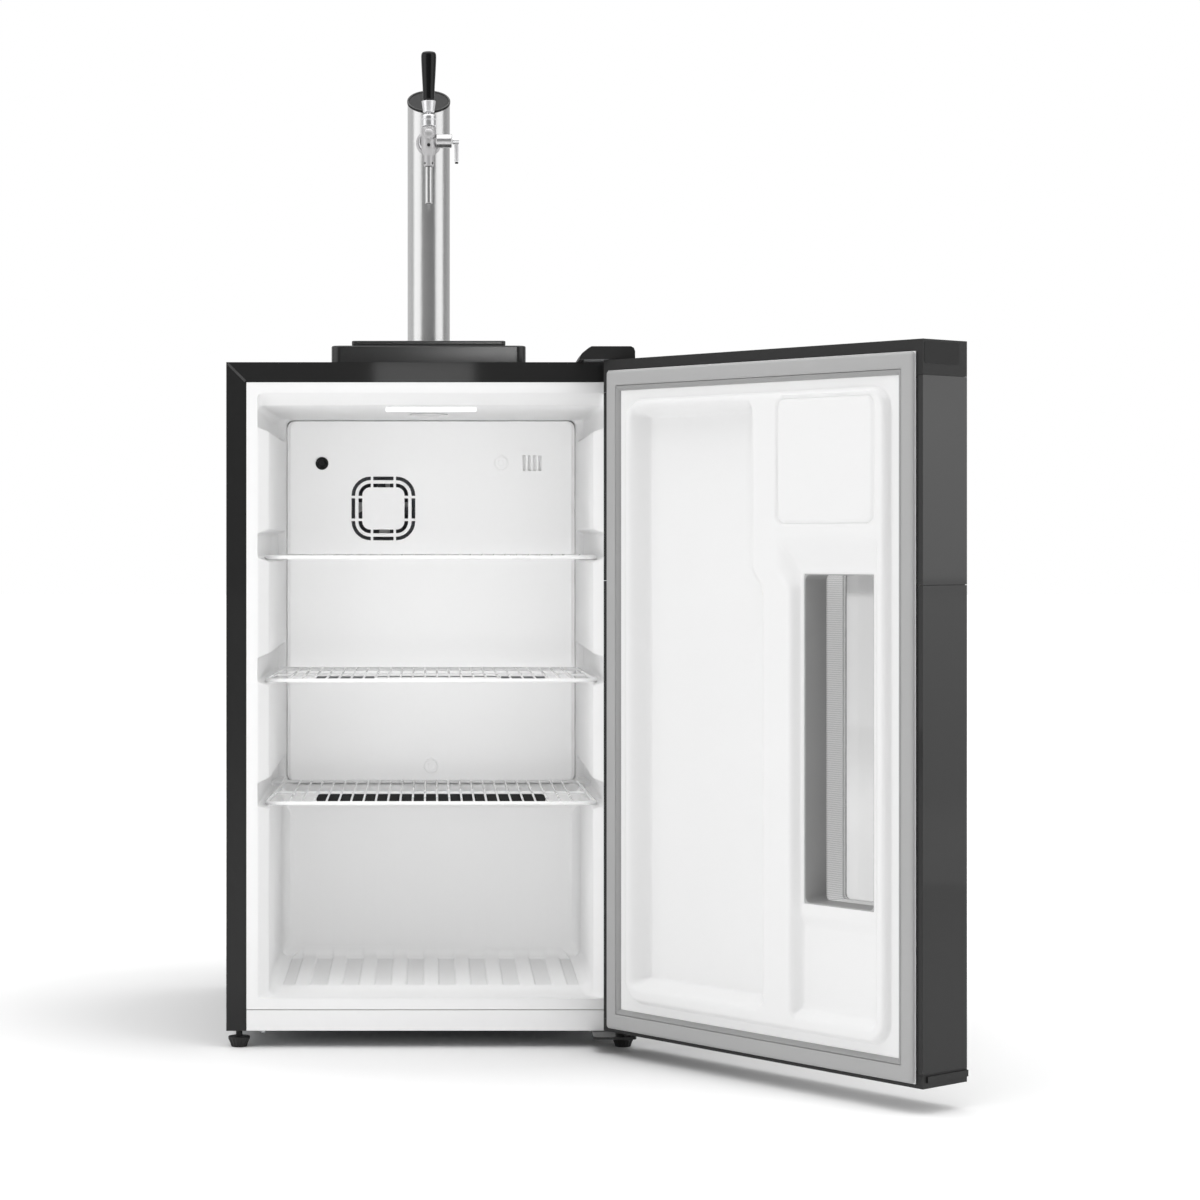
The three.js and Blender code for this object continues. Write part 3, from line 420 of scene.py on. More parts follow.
def plate(axis, outlines, span, soft=0.4):
    curve = bpy.data.curves.new("plate", "CURVE")
    curve.dimensions = "2D"
    curve.fill_mode = "BOTH"
    curve.extrude = (span[1] - span[0]) / 2 - soft
    curve.bevel_depth = soft
    curve.bevel_resolution = 2
    curve.offset = -soft
    for outline in outlines:
        spline = curve.splines.new("POLY")
        spline.points.add(len(outline) - 1)
        for point, (a, b) in zip(spline.points, outline):
            point.co = (a, b, 0, 1)
        spline.use_cyclic_u = True
    holder = bpy.data.objects.new("plate", curve)
    mesh = bpy.data.meshes.new_from_object(holder)
    shape = ([vertex.co.copy() for vertex in mesh.vertices],
             [tuple(face.vertices) for face in mesh.polygons])
    bpy.data.objects.remove(holder)
    bpy.data.curves.remove(curve)
    bpy.data.meshes.remove(mesh)
    return moved(shape, AXES[axis] @ Matrix.Translation((0, 0, (span[0] + span[1]) / 2)))


def slab(x, y, z, soft=0.6, segments=3):
    box = bmesh.new()
    bmesh.ops.create_cube(box, size=1)
    bmesh.ops.scale(box, vec=[high - low for low, high in (x, y, z)], verts=box.verts)
    bmesh.ops.translate(box, vec=[(low + high) / 2 for low, high in (x, y, z)], verts=box.verts)
    if soft:
        bmesh.ops.bevel(box, geom=box.edges, offset=soft, segments=segments, profile=0.5, affect="EDGES")
    box.verts.index_update()
    points = [vertex.co.copy() for vertex in box.verts]
    faces = [tuple(vertex.index for vertex in face.verts) for face in box.faces]
    box.free()
    return points, faces


# Round wire along a line of points, with flat ends.
def wire(line, radius, sides=10, closed=False):
    line = [Vector(point) for point in line]
    turns = [2 * math.pi * corner / sides for corner in range(sides)]
    rings = []
    side = None
    for index, point in enumerate(line):
        before = line[index - 1] if index or closed else point
        after = line[(index + 1) % len(line)] if index + 1 < len(line) or closed else point
        along = (after - before).normalized()
        if side is None:
            side = along.orthogonal().normalized()
        side = (side - along * side.dot(along)).normalized()
        other = along.cross(side)
        rings.append([point + radius * (math.cos(turn) * side + math.sin(turn) * other)
                      for turn in turns])
    return loft(rings, closed=closed)


# Placing matrices for turned pieces: their axis points up, to the front, to the right or to the back.
def upright(x, y, z=0.0):
    return Matrix.Translation((x, y, z))


def facing_front(x, y, z):
    return upright(x, y, z) @ Matrix.Rotation(math.pi / 2, 4, "X")


def facing_right(x, y, z):
    return upright(x, y, z) @ Matrix.Rotation(math.pi / 2, 4, "Y")


def facing_back(x, y, z):
    return upright(x, y, z) @ Matrix.Rotation(-math.pi / 2, 4, "X")


# A line through the given corners with each corner bent round.
def bent(corners, reach):
    corners = [Vector(corner) for corner in corners]
    line = [corners[0]]
    for before, corner, after in zip(corners, corners[1:], corners[2:]):
        start = corner + (before - corner).normalized() * reach
        end = corner + (after - corner).normalized() * reach
        line += bend(start, corner, end, 7)
    return line + [corners[-1]]


def clamp(value):
    return max(0.0, min(1.0, value))


def smooth(value):
    value = clamp(value)
    return value * value * (3 - 2 * value)


# The cabinet's liner is a stack of outlines from the back to the mouth, each one bent by the features
# that it crosses: flared mouth, ledges for the shelves, grooved floor and raised step.
MOUTH = {"half": 212, "bottom": 60, "top": 800}
CAVITY = {"half": 198, "floor": 68, "ceiling": 784, "back": 466, "bevel": 16, "ramp": 56}
FLANGE = {"half": 225.3, "bottom": 46.8, "top": 812.3}
STEP = {"front": 312, "top": 285, "fillet": 16, "edge": 4}
LEDGES = [(292.6, 325.7), (444, 478.6), (595.8, 630.5), (755, 800)]
LEDGE_END = 400
GROOVE = {"count": 10, "pitch": 40, "half": 10.5, "depth": 2.6, "front": 60, "back": 300}
LINER_WALL = 2


def around_edges(edges, low, high, reach=7, steps=6, spare=8):
    places = {low, high}
    for edge in edges:
        places |= {edge + reach * step / steps for step in range(-steps, steps + 1)}
    for step in range(1, spare):
        places.add(low + (high - low) * step / spare)
    return sorted(place for place in places if low <= place <= high)


def centred(count, pitch):
    """Places at equal steps, with zero in their middle."""
    return [(index - (count - 1) / 2) * pitch for index in range(count)]


GROOVE_MIDDLES = centred(GROOVE["count"], GROOVE["pitch"])
GROOVE_EDGES = [middle + side * GROOVE["half"] for middle in GROOVE_MIDDLES for side in (-1, 1)]
FLOOR_PLACES = around_edges(GROOVE_EDGES, -186, 186, reach=3, steps=3)
WALL_PLACES = around_edges([edge for ledge in LEDGES for edge in ledge], 84, 772)


def fall(value, radius):
    """How far a quarter round of that radius has dropped, `value` short of its end."""
    share = clamp(1 - value / radius)
    return radius * (1 - math.sqrt(1 - share * share))


def ledge_share(height, depth):
    inside = max(min(height - low, high - height) for low, high in LEDGES)
    return smooth(0.5 + inside / 7) * (1 - smooth((depth - LEDGE_END + 6) / 12))


def half_width(height, depth):
    flare = 1 - min(1, depth / CAVITY["bevel"])
    wide = MOUTH["half"] - CAVITY["half"]
    half = CAVITY["half"] + wide * max(flare, ledge_share(height, depth))
    if depth <= STEP["front"]:
        low_wall = 1 - smooth((height - STEP["top"] + 12) / 12)
        half -= low_wall * fall(STEP["front"] - depth, STEP["fillet"])
    return half


def floor_height(depth):
    if depth > STEP["front"]:
        return STEP["top"] - fall(depth - STEP["front"], STEP["edge"])
    ramp = (CAVITY["floor"] - MOUTH["bottom"]) * smooth(depth / CAVITY["ramp"])
    return MOUTH["bottom"] + ramp + fall(STEP["front"] - depth, STEP["fillet"])


def groove_depth(x, depth):
    across = max(smooth((GROOVE["half"] + 1.2 - abs(x - middle)) / 2.4) for middle in GROOVE_MIDDLES)
    along = smooth((depth - GROOVE["front"]) / 4) * smooth((GROOVE["back"] - depth) / 4)
    return GROOVE["depth"] * across * along


def liner_ring(depth, grow=0.0, steps=5):
    floor = floor_height(depth) - grow
    ceiling = CAVITY["ceiling"] + grow + (MOUTH["top"] - CAVITY["ceiling"]) * (
        1 - min(1, depth / CAVITY["bevel"]))
    low_radius = 6 + 8 * smooth(depth / 40)
    top_radius = 6 + 3 * smooth(depth / 40)
    low_half = half_width(floor + grow + 1, depth) + grow
    top_half = half_width(ceiling - 12, depth) + grow
    low = rounded((-low_half, low_half), (floor, floor + 3 * low_radius), low_radius, steps)
    top = rounded((-top_half, top_half), (ceiling - 3 * top_radius, ceiling), top_radius, steps)
    corner = steps + 1
    walls = []
    for place in WALL_PLACES:
        height = min(max(place, floor + low_radius), ceiling - top_radius)
        walls.append((half_width(height, depth) + grow, height))
    bottom = [(min(max(x, -low_half + low_radius), low_half - low_radius),
               floor - groove_depth(x, depth)) for x in FLOOR_PLACES]
    outline = bottom + low[:corner] + walls + top[corner:2 * corner]
    outline += top[2 * corner:3 * corner] + [(-x, z) for x, z in reversed(walls)] + low[3 * corner:]
    return [(x, depth, z) for x, z in outline]


def flange_ring(depth):
    middle = (FLANGE["bottom"] + FLANGE["top"]) / 2
    tall = FLANGE["top"] - middle
    ring = []
    for x, _, z in liner_ring(0):
        scale = min(FLANGE["half"] / max(abs(x), 0.01), tall / max(abs(z - middle), 0.01))
        ring.append((x * scale, depth, middle + (z - middle) * scale))
    for x in (-FLANGE["half"], FLANGE["half"]):
        for z in (FLANGE["bottom"], FLANGE["top"]):
            nearest = min(range(len(ring)), key=lambda at: math.dist(ring[at], (x, depth, z)))
            ring[nearest] = (x, depth, z)
    return ring


def spread(start, *stretches):
    """Places from `start` on, in stretches given as their end and their number of equal steps."""
    places = []
    for end, steps in stretches:
        places += [start + (end - start) * step / steps for step in range(steps)]
        start = end
    return places + [start]


def add_liner():
    depths = spread(0, (16, 8), (60, 6), (64, 4), (296, 5), (312, 12), (318, 6), (392, 2), (410, 9),
                    (CAVITY["back"], 2))
    inner = [liner_ring(depth) for depth in reversed(depths)]
    outer = [liner_ring(depth, LINER_WALL) for depth in (2, 60, 296, 311.9, 312.1, 400, 468)]
    rings = inner + [flange_ring(0), flange_ring(1.7)] + outer
    add_piece("cavity_liner", loft(rings), CABINET, "liner_white", "cabinet", ["inner_liner"],
              crease=50)


# Evaporator cover with its slotted fan grille, louvre, return air, plugs and grommet, and the black strip
# on the step under it.
COVER = {"half": 193.7, "shoulder": 197.4, "front": 444, "bottom": 288, "top": 783}
FAN = (-65.4, 663.3)
LOUVRE = {"x": 126, "pitch": 7.2, "wide": 3.9, "slots": 4, "z": (715, 736)}
SENSOR_PLUGS = [("upper", 96.2, 725.7), ("lower", 0, 310)]
GAS_PORT = (-149.5, 725)
RETURN_AIR = [((-158, -78), (429, 436.5)), ((-76, 94), (432, 433.3)), ((96, 156), (429, 436.5))]
STEP_STRIP = {"x": (-152, 152), "z": (270.5, 283)}


def circle(centre, radius, steps=40):
    return arc(centre, radius, 0, 360 - 360 / steps, steps - 1)


def grille_slots(outer, slot, radius, bridge_from=13.85, bridge_to=17.35, steps=7):
    inner, turn = outer - slot, outer - radius
    straight = [(-bridge_from, inner), (bridge_from, inner), (bridge_from, outer), (-bridge_from, outer)]
    curved = [(bridge_to, outer)] + arc((turn, turn), radius, 90, 0, steps) + [(outer, bridge_to)]
    curved += [(inner, bridge_to)] + arc((turn, turn), radius - slot, 0, 90, steps)
    curved.append((bridge_to, inner))
    slots = []
    for quarter in range(4):
        turn_by = Matrix.Rotation(math.pi / 2 * quarter, 2)
        for outline in (straight, curved):
            slots.append([tuple(turn_by @ Vector(point) + Vector(FAN)) for point in outline])
    return slots


def add_rear_wall():
    x, front = COVER["half"], COVER["front"]
    outlines = [rounded((-x, x), (COVER["bottom"], COVER["top"]), 10), circle(GAS_PORT, 7.4)]
    outlines += grille_slots(43.7, 4.9, 26) + grille_slots(34, 5, 16)
    for index in range(LOUVRE["slots"]):
        left = LOUVRE["x"] + LOUVRE["pitch"] * index
        outlines.append(rounded((left, left + LOUVRE["wide"]), LOUVRE["z"], 1.2, 3))
    outlines += [rounded(span_x, span_z, 0.5, 3) for span_x, span_z in RETURN_AIR]
    face = plate("y", outlines, (front, front + 2.6), 0.6)
    shoulder = COVER["shoulder"]
    edge = [rounded((-shoulder, shoulder), (COVER["bottom"], COVER["top"] + 0.6), 11),
            rounded((-x + 4, x - 4), (COVER["bottom"] + 3, COVER["top"] - 3), 8)]
    wall = plate("y", edge, (front + 2, 465), 0.8)
    add_piece("cover_panel", join([face, wall]), CABINET, "white_plastic", "cabinet",
              ["evaporator_cover"], crease=30)
    backing = slab((120, 158), (front + 5, front + 7), (708, 743), 0.5)
    add_piece("louvre_backing", backing, CABINET, "white_plastic", "cabinet")
    disc = lathe([(0, 0), (10.5, 0), (10.5, 1.6), (9.7, 1.6), (9.6, 0.3), (8.4, 0.3), (8.3, 1.6),
                  (4.4, 1.6), (4, 1.2), (0, 1.2)], 0.2)
    cap = join([disc, slab((-1.5, 1.5), (9.9, 12.2), (0, 1.2), 0.3)])
    for name, at_x, at_z in SENSOR_PLUGS:
        add_piece(name + "_plug_cap", cap, CABINET @ facing_front(at_x, front, at_z),
                  "white_plastic", "cabinet", [name + "_sensor_plug"])
    port = lathe([(0, -2), (4.5, -2), (5.6, 0.2), (6.4, 1.7), (8.8, 1.7), (8.8, 0), (6.5, 0),
                  (6.5, front - 507), (5, front - 507), (5, -4), (0, -4)], 0.7)
    add_piece("gas_port_grommet", port, CABINET @ facing_front(GAS_PORT[0], front, GAS_PORT[1]),
              "black_rubber", "cabinet", ["gas_line_bushing"])
    strip = plate("y", [rounded(STEP_STRIP["x"], STEP_STRIP["z"], 6, 8)], (309.7, 311.7), 0.5)
    add_piece("step_front_strip", strip, CABINET, "black_plastic", "cabinet", ["step_trim_strip"])


# Shelves: a bent frame of heavy wire, thin wires welded across it and one cross rail under them.
SHELF = {"half": 203.5, "rear_half": 197, "run": 324, "border": 2.5, "rods": 24, "span": 175,
         "middle": 165}


def shelf_shape():
    half, rear, run = SHELF["half"], SHELF["rear_half"], SHELF["run"]
    radius, rear_radius = 16, 12
    outline = arc((half - radius, radius), radius, -90, 0, 8)
    outline += arc((rear - rear_radius, run - rear_radius), rear_radius, 0, 90, 8)
    outline += [(-x, y) for x, y in reversed(outline)]
    border = wire([(x, y, 0) for x, y in outline], SHELF["border"], 12, closed=True)
    middle_half = half - (half - rear) * SHELF["middle"] / run
    ends = [(side * middle_half, SHELF["middle"], -0.6) for side in (-1, 1)]
    shapes = [border, wire(ends, 1.9, 10)]
    for x in centred(SHELF["rods"], 2 * SHELF["span"] / (SHELF["rods"] - 1)):
        shapes.append(wire([(x, -0.5, 1.4), (x, run + 0.5, 1.4)], 1.35, 8))
    return join(shapes)


def add_shelves():
    shape = shelf_shape()
    for level in ("bottom", "middle", "top"):
        low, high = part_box("shelf_" + level)
        corner = CABINET.inverted() @ Vector(((low.x + high.x) / 2, low.y, low.z))
        origin = corner + Vector((0, SHELF["border"], SHELF["border"]))
        add_piece("wire_shelf_" + level, shape, CABINET @ Matrix.Translation(origin), "white_wire",
                  level + "_shelf", ["shelf_" + level], crease=50)


# Door liner: a height field over the door's inner side, raised towards the cavity. The long recess on
# the hinge side is narrower above the jog, and the recess round the window has sloping sides.
DYKE = {"u": (44, 455), "z": (70, 787), "rise": 9, "radius": 25}
RECESS = {"u": (51, 258), "z": (84, 781), "left": 55.5, "wide": 273, "jog": 17, "depth": 25}
SQUARE = {"u": (292.7, 438.7), "z": (637, 780), "groove": 2.2}
WINDOW_RECESS = {"left": 312.5, "right": 443, "z": (84, 626), "jog": 19.5, "depth": 10}
POCKET = {"u": (312.5, 441), "z": (90, 202), "depth": 3.5}
LINER_EDGE = {"u": (9.5, 489.5), "z": (33.4, 823.4)}
WINDOW = {"u": (327, 430), "z": (213, 582), "radius": 6}
PANES = {"inner": (35, 39), "outer": (65, 69)}


def inside_rounded(u, z, span_u, span_z, radius):
    """Distance inside a rounded rectangle; negative outside it."""
    across = abs(u - sum(span_u) / 2) - (span_u[1] - span_u[0]) / 2 + radius
    up = abs(z - sum(span_z) / 2) - (span_z[1] - span_z[0]) / 2 + radius
    return radius - math.hypot(max(across, 0), max(up, 0)) - min(max(across, up), 0)


def soft_ramp(value):
    return 0.45 * clamp(value) + 0.55 * smooth(value)


def door_height(u, z):
    height = DYKE["rise"] * smooth(inside_rounded(u, z, DYKE["u"], DYKE["z"], DYKE["radius"]) / 5)
    # the recess is stretched to its width at this height
    left, right = RECESS["left"], RECESS["wide"] - RECESS["jog"] * smooth((z - 560) / 30)
    stretched = left + (u - left) * 200 / (right - left)
    inside = inside_rounded(stretched, z, RECESS["u"], RECESS["z"], 16)
    height -= RECESS["depth"] * smooth((inside - 1) / 15)
    groove = abs(inside_rounded(u, z, SQUARE["u"], SQUARE["z"], 12) - 1.5)
    height -= SQUARE["groove"] * smooth((2.6 - groove) / 2.4)
    left = WINDOW_RECESS["left"] - WINDOW_RECESS["jog"] * smooth((z - 561) / 27)
    right, (bottom, top) = WINDOW_RECESS["right"], WINDOW_RECESS["z"]
    slopes = min((u - left) / (323 - left), (top - 2 - z) / 37, (right - u) / 4, (z - bottom) / 10)
    corner = inside_rounded(u, z, (left, right), (bottom, top), 12) / 6
    height -= WINDOW_RECESS["depth"] * soft_ramp(min(slopes, corner))
    (left, right), (bottom, top) = POCKET["u"], POCKET["z"]
    pocket = min((u - left) / 6, (right - u) / 6, (top - z) / 15, (z - bottom) / 12)
    return height - POCKET["depth"] * smooth(pocket)


def door_grid():
    (left, right), (bottom, top) = LINER_EDGE["u"], LINER_EDGE["z"]
    us = spread(left, (42, 3), (76, 17), (250, 12), (334, 42), (422, 8), (460, 19), (right, 3))
    zs = spread(bottom, (68, 3), (106, 19), (180, 6), (220, 14), (552, 20), (632, 32), (646, 7),
                (760, 8), (790, 15), (top, 3))
    return us, zs


def fit_to_window(places, span):
    """Moves the nearest line of the grid onto each edge of the window."""
    for edge in span:
        nearest = min(range(len(places)), key=lambda index: abs(places[index] - edge))
        places[nearest] = edge


def add_door_liner():
    us, zs = door_grid()
    fit_to_window(us, WINDOW["u"])
    fit_to_window(zs, WINDOW["z"])
    points = [(u, -door_height(u, z), z) for z in zs for u in us]
    count = len(us)
    faces = []
    for row in range(len(zs) - 1):
        for column in range(count - 1):
            u, z = (us[column] + us[column + 1]) / 2, (zs[row] + zs[row + 1]) / 2
            if inside_rounded(u, z, WINDOW["u"], WINDOW["z"], 0.1) > 0:
                continue
            corner = row * count + column
            faces.append((corner, corner + 1, corner + count + 1, corner + count))
    piece = add_piece("door_inner_panel", (points, faces), DOOR, "white_plastic", "door",
                      ["door_liner"], crease=60)
    wall = piece.modifiers.new("wall", "SOLIDIFY")
    wall.thickness = 1.6 * MM


# Door gasket: a broad hollow band with a sloping lip inside it, mitred at the corners. The lip is a darker grey,
# painted shade for its slope.
GASKET = {"outer_u": (9.8, 489.2), "outer_z": (33.7, 823), "inner_u": (32, 467),
          "inner_z": (58.4, 798.5)}


def gasket_ring(share, t):
    spans = []
    for axis in ("u", "z"):
        outer, inner = GASKET["outer_" + axis], GASKET["inner_" + axis]
        spans.append(tuple(a + (b - a) * share for a, b in zip(outer, inner)))
    radius = 3 - 2.4 * share
    return [(u, t, z) for u, z in rounded(spans[0], spans[1], radius, 3)]


def add_gasket():
    band = [(0, -0.3), (0, -2.2), (0.02, -4.4), (0.06, -5.6), (0.13, -6.3), (0.3, -6.5), (0.6, -6.4),
            (0.7, -6.1), (0.735, -5.4), (0.74, -4.2), (0.74, -0.3)]
    lip = [(0.75, -0.3), (0.75, -4.6), (0.77, -5.2), (0.82, -5.0), (0.9, -4.2), (0.97, -3.0),
           (1, -1.6), (1, -0.3)]
    add_piece("gasket_band", loft([gasket_ring(*place) for place in band], closed=True), DOOR,
              "grey_gasket", "door", ["door_gasket"], crease=40)
    # The lip's darker grey is painted shade.
    add_piece("gasket_inner_lip", loft([gasket_ring(*place) for place in lip], closed=True), DOOR,
              "shaded_gasket_grey", "door", crease=40)


def window_outline(by, radius, steps=6):
    return rounded(inset(WINDOW["u"], by), inset(WINDOW["z"], by), radius, steps)


# The window's tunnel, its two panes, and the tape that seals the outer pane to the door's front.
def add_window():
    path = [(-1.4, 0.2), (-0.6, -0.4), (0.4, -0.4), (1.1, 0.2), (1.3, 1), (1.3, 34.5), (-1.8, 34.5),
            (-1.8, 1)]
    rings = [[(u, t, z) for u, z in window_outline(by, WINDOW["radius"], 8)] for by, t in path]
    add_piece("window_surround", loft(rings, closed=True), DOOR, "window_grey", "door",
              ["window_frame"], crease=40)
    for side, span in PANES.items():
        pane = plate("y", [window_outline(-8, 4)], span, 0.5)
        add_piece(side + "_pane", pane, DOOR, "clear_glass", "door", [side + "_glass"])
    tape = plate("y", [window_outline(-7, 4), window_outline(0, WINDOW["radius"])], (69.2, 71.6), 0.1)
    add_piece("glazing_tape", tape, DOOR, "ribbed_spacer", "door")


# Trim and hardware on the outside of the cabinet and the door.
CORNER = {"inner": (225.6, 812.6), "outer": (250, 837), "half_width": 1.5}
BOLTS = [(-205, 17.2), (201, 13.9)]
FEET = {"x": 235, "y": 12}


def add_trim():
    for side, sign in (("left", -1), ("right", 1)):
        start = Vector((sign * CORNER["inner"][0], CORNER["inner"][1]))
        end = Vector((sign * CORNER["outer"][0], CORNER["outer"][1]))
        along = (end - start).normalized()
        across = Vector((-along.y, along.x)) * CORNER["half_width"]
        start, end = start + along * 1.5, end - along * 2.5
        outline = [start - across, end - across, end + across, start + across]
        add_piece("front_mitre_" + side, plate("y", [outline], (-0.2, 0.4), 0.1), CABINET,
                  "mitre_black", "cabinet")
    for name, (x, z) in zip(("left", "right"), BOLTS):
        head = lathe([(0, 0), (3.4, 0), (4, 0.6), (4, 3.2), (0, 3.2)], 0.2, 6)
        add_piece("front_bolt_" + name, head, CABINET @ upright(x, 9, z), "zinc_steel", "cabinet")
    end_cap = plate("x", [rounded((2, 60), (810, 834.5), 4)], (498.6, 499.4), 0.3)
    add_piece("module_end_cap", end_cap, DOOR, "black_plastic", "door")
    # a strip behind the seam of the two door skins, along the free edge and round its corner
    seam = [(496.2, 4), (497.6, 4), (497.6, 71.6), (440, 71.6), (440, 70.2), (496.2, 70.2)]
    add_piece("seam_backing", plate("z", [seam], (566, 576), 0.1), DOOR, "black_steel", "door")


def add_feet():
    thread = [(4.2 - 0.5 * (step % 2), 13 + 0.75 * step) for step in range(27)]
    profile = [(0, 0), (9.4, 0), (10.1, 1.6), (10.8, 4.4), (13.4, 10), (13.4, 12.4), (4.2, 12.4)]
    cup = lathe(profile + thread + [(0, 32.9)], 0.5, 96, lobes=16, bite=0.9, bitten=(1, 11.8))
    for side, sign in (("left", -1), ("right", 1)):
        add_piece(side + "_levelling_foot", cup, CABINET @ upright(sign * FEET["x"], FEET["y"]),
                  "black_rubber", side + "_foot", ["front_" + side + "_foot"])


# Plinth and drip grille, drawn about the tower's X.
PLINTH = {"half": 121.5, "y": (78, 300), "z": (837.3, 862.6), "radius": 12}
WELL = {"half": 96, "y": (88, 190), "floor": 848.9}
GRILLE = {"y": (81, 198), "z": (862.9, 868.7), "slots": 13, "pitch": 13.5, "slot_half": 3,
          "slot_y": (96, 182)}


def add_plinth():
    tower = CABINET @ upright(COLUMN_AXIS[0], 0)
    half, well = PLINTH["half"], WELL["half"]
    body = plate("z", [rounded((-half, half), PLINTH["y"], PLINTH["radius"], 12),
                       rounded((-well, well), WELL["y"], 2, 3)], PLINTH["z"], 2)
    floor = slab((-well - 1, well + 1), inset(WELL["y"], -1), (WELL["floor"] - 3, WELL["floor"]), 0)
    add_piece("plinth_body", join([body, floor]), tower, "plinth_black", "cabinet", ["tower_plinth"])
    outlines = [rounded((-well, well), GRILLE["y"], 5, 8)]
    for x in centred(GRILLE["slots"], GRILLE["pitch"]):
        across = (x - GRILLE["slot_half"], x + GRILLE["slot_half"])
        outlines.append(rounded(across, GRILLE["slot_y"], 2.9, 5))
    add_piece("slotted_grille", plate("z", outlines, GRILLE["z"], 1.1), tower, "plinth_black", "tray",
              ["drip_grille"])


# Tap column, cut on a slant that rises to the back, and its lid.
COLUMN = {"radius": 27.5, "bore": 26, "foot": 862.9, "front_height": 1172, "slope": math.radians(32)}


def column_ring(radius, above, level=None, sides=96):
    ring = []
    for side in range(sides):
        turn = 2 * math.pi * side / sides
        x, y = radius * math.cos(turn), radius * math.sin(turn)
        slant = COLUMN["front_height"] + (y + COLUMN["radius"]) * math.tan(COLUMN["slope"])
        ring.append((x, y, slant + above if level is None else level))
    return ring


def add_column():
    place = CABINET @ upright(*COLUMN_AXIS)
    radius, bore, foot = COLUMN["radius"], COLUMN["bore"], COLUMN["foot"]
    tube = [column_ring(radius, 0, foot), column_ring(radius, -0.4), column_ring(radius - 0.3, 0),
            column_ring(bore + 0.3, 0), column_ring(bore, -0.4), column_ring(bore, 0, foot)]
    add_piece("column_tube", loft(tube, closed=True), place, "stainless", "cabinet", ["tower_column"])
    lid = [(25.5, -4), (25.5, 0.4), (25.5, 1.8), (20, 2), (0.5, 2)]
    add_piece("column_lid", loft([column_ring(*ring) for ring in lid]), place, "lid_black", "cabinet",
              ["tower_cap"], crease=50)
    rim = [(25.3, 0.3), (28.1, 0.3), (28.1, 2.3), (27.6, 3), (26.8, 3.2), (26, 3), (25.3, 2.2)]
    add_piece("lid_rim", loft([column_ring(*ring) for ring in rim], closed=True), place, "glossy_black",
              "cabinet", crease=50)


# Tap: flange and nut on the column, a cast body, a ringed bonnet, spout, lever and handle.
SHANK_HEIGHT = 1133
CONTROL_HEIGHT = 1131
PIVOT_HEIGHT = 1161.3
BODY = {"radius": 9.5, "top": 1149.1, "cap_height": 1139.4, "bottom": 1098}


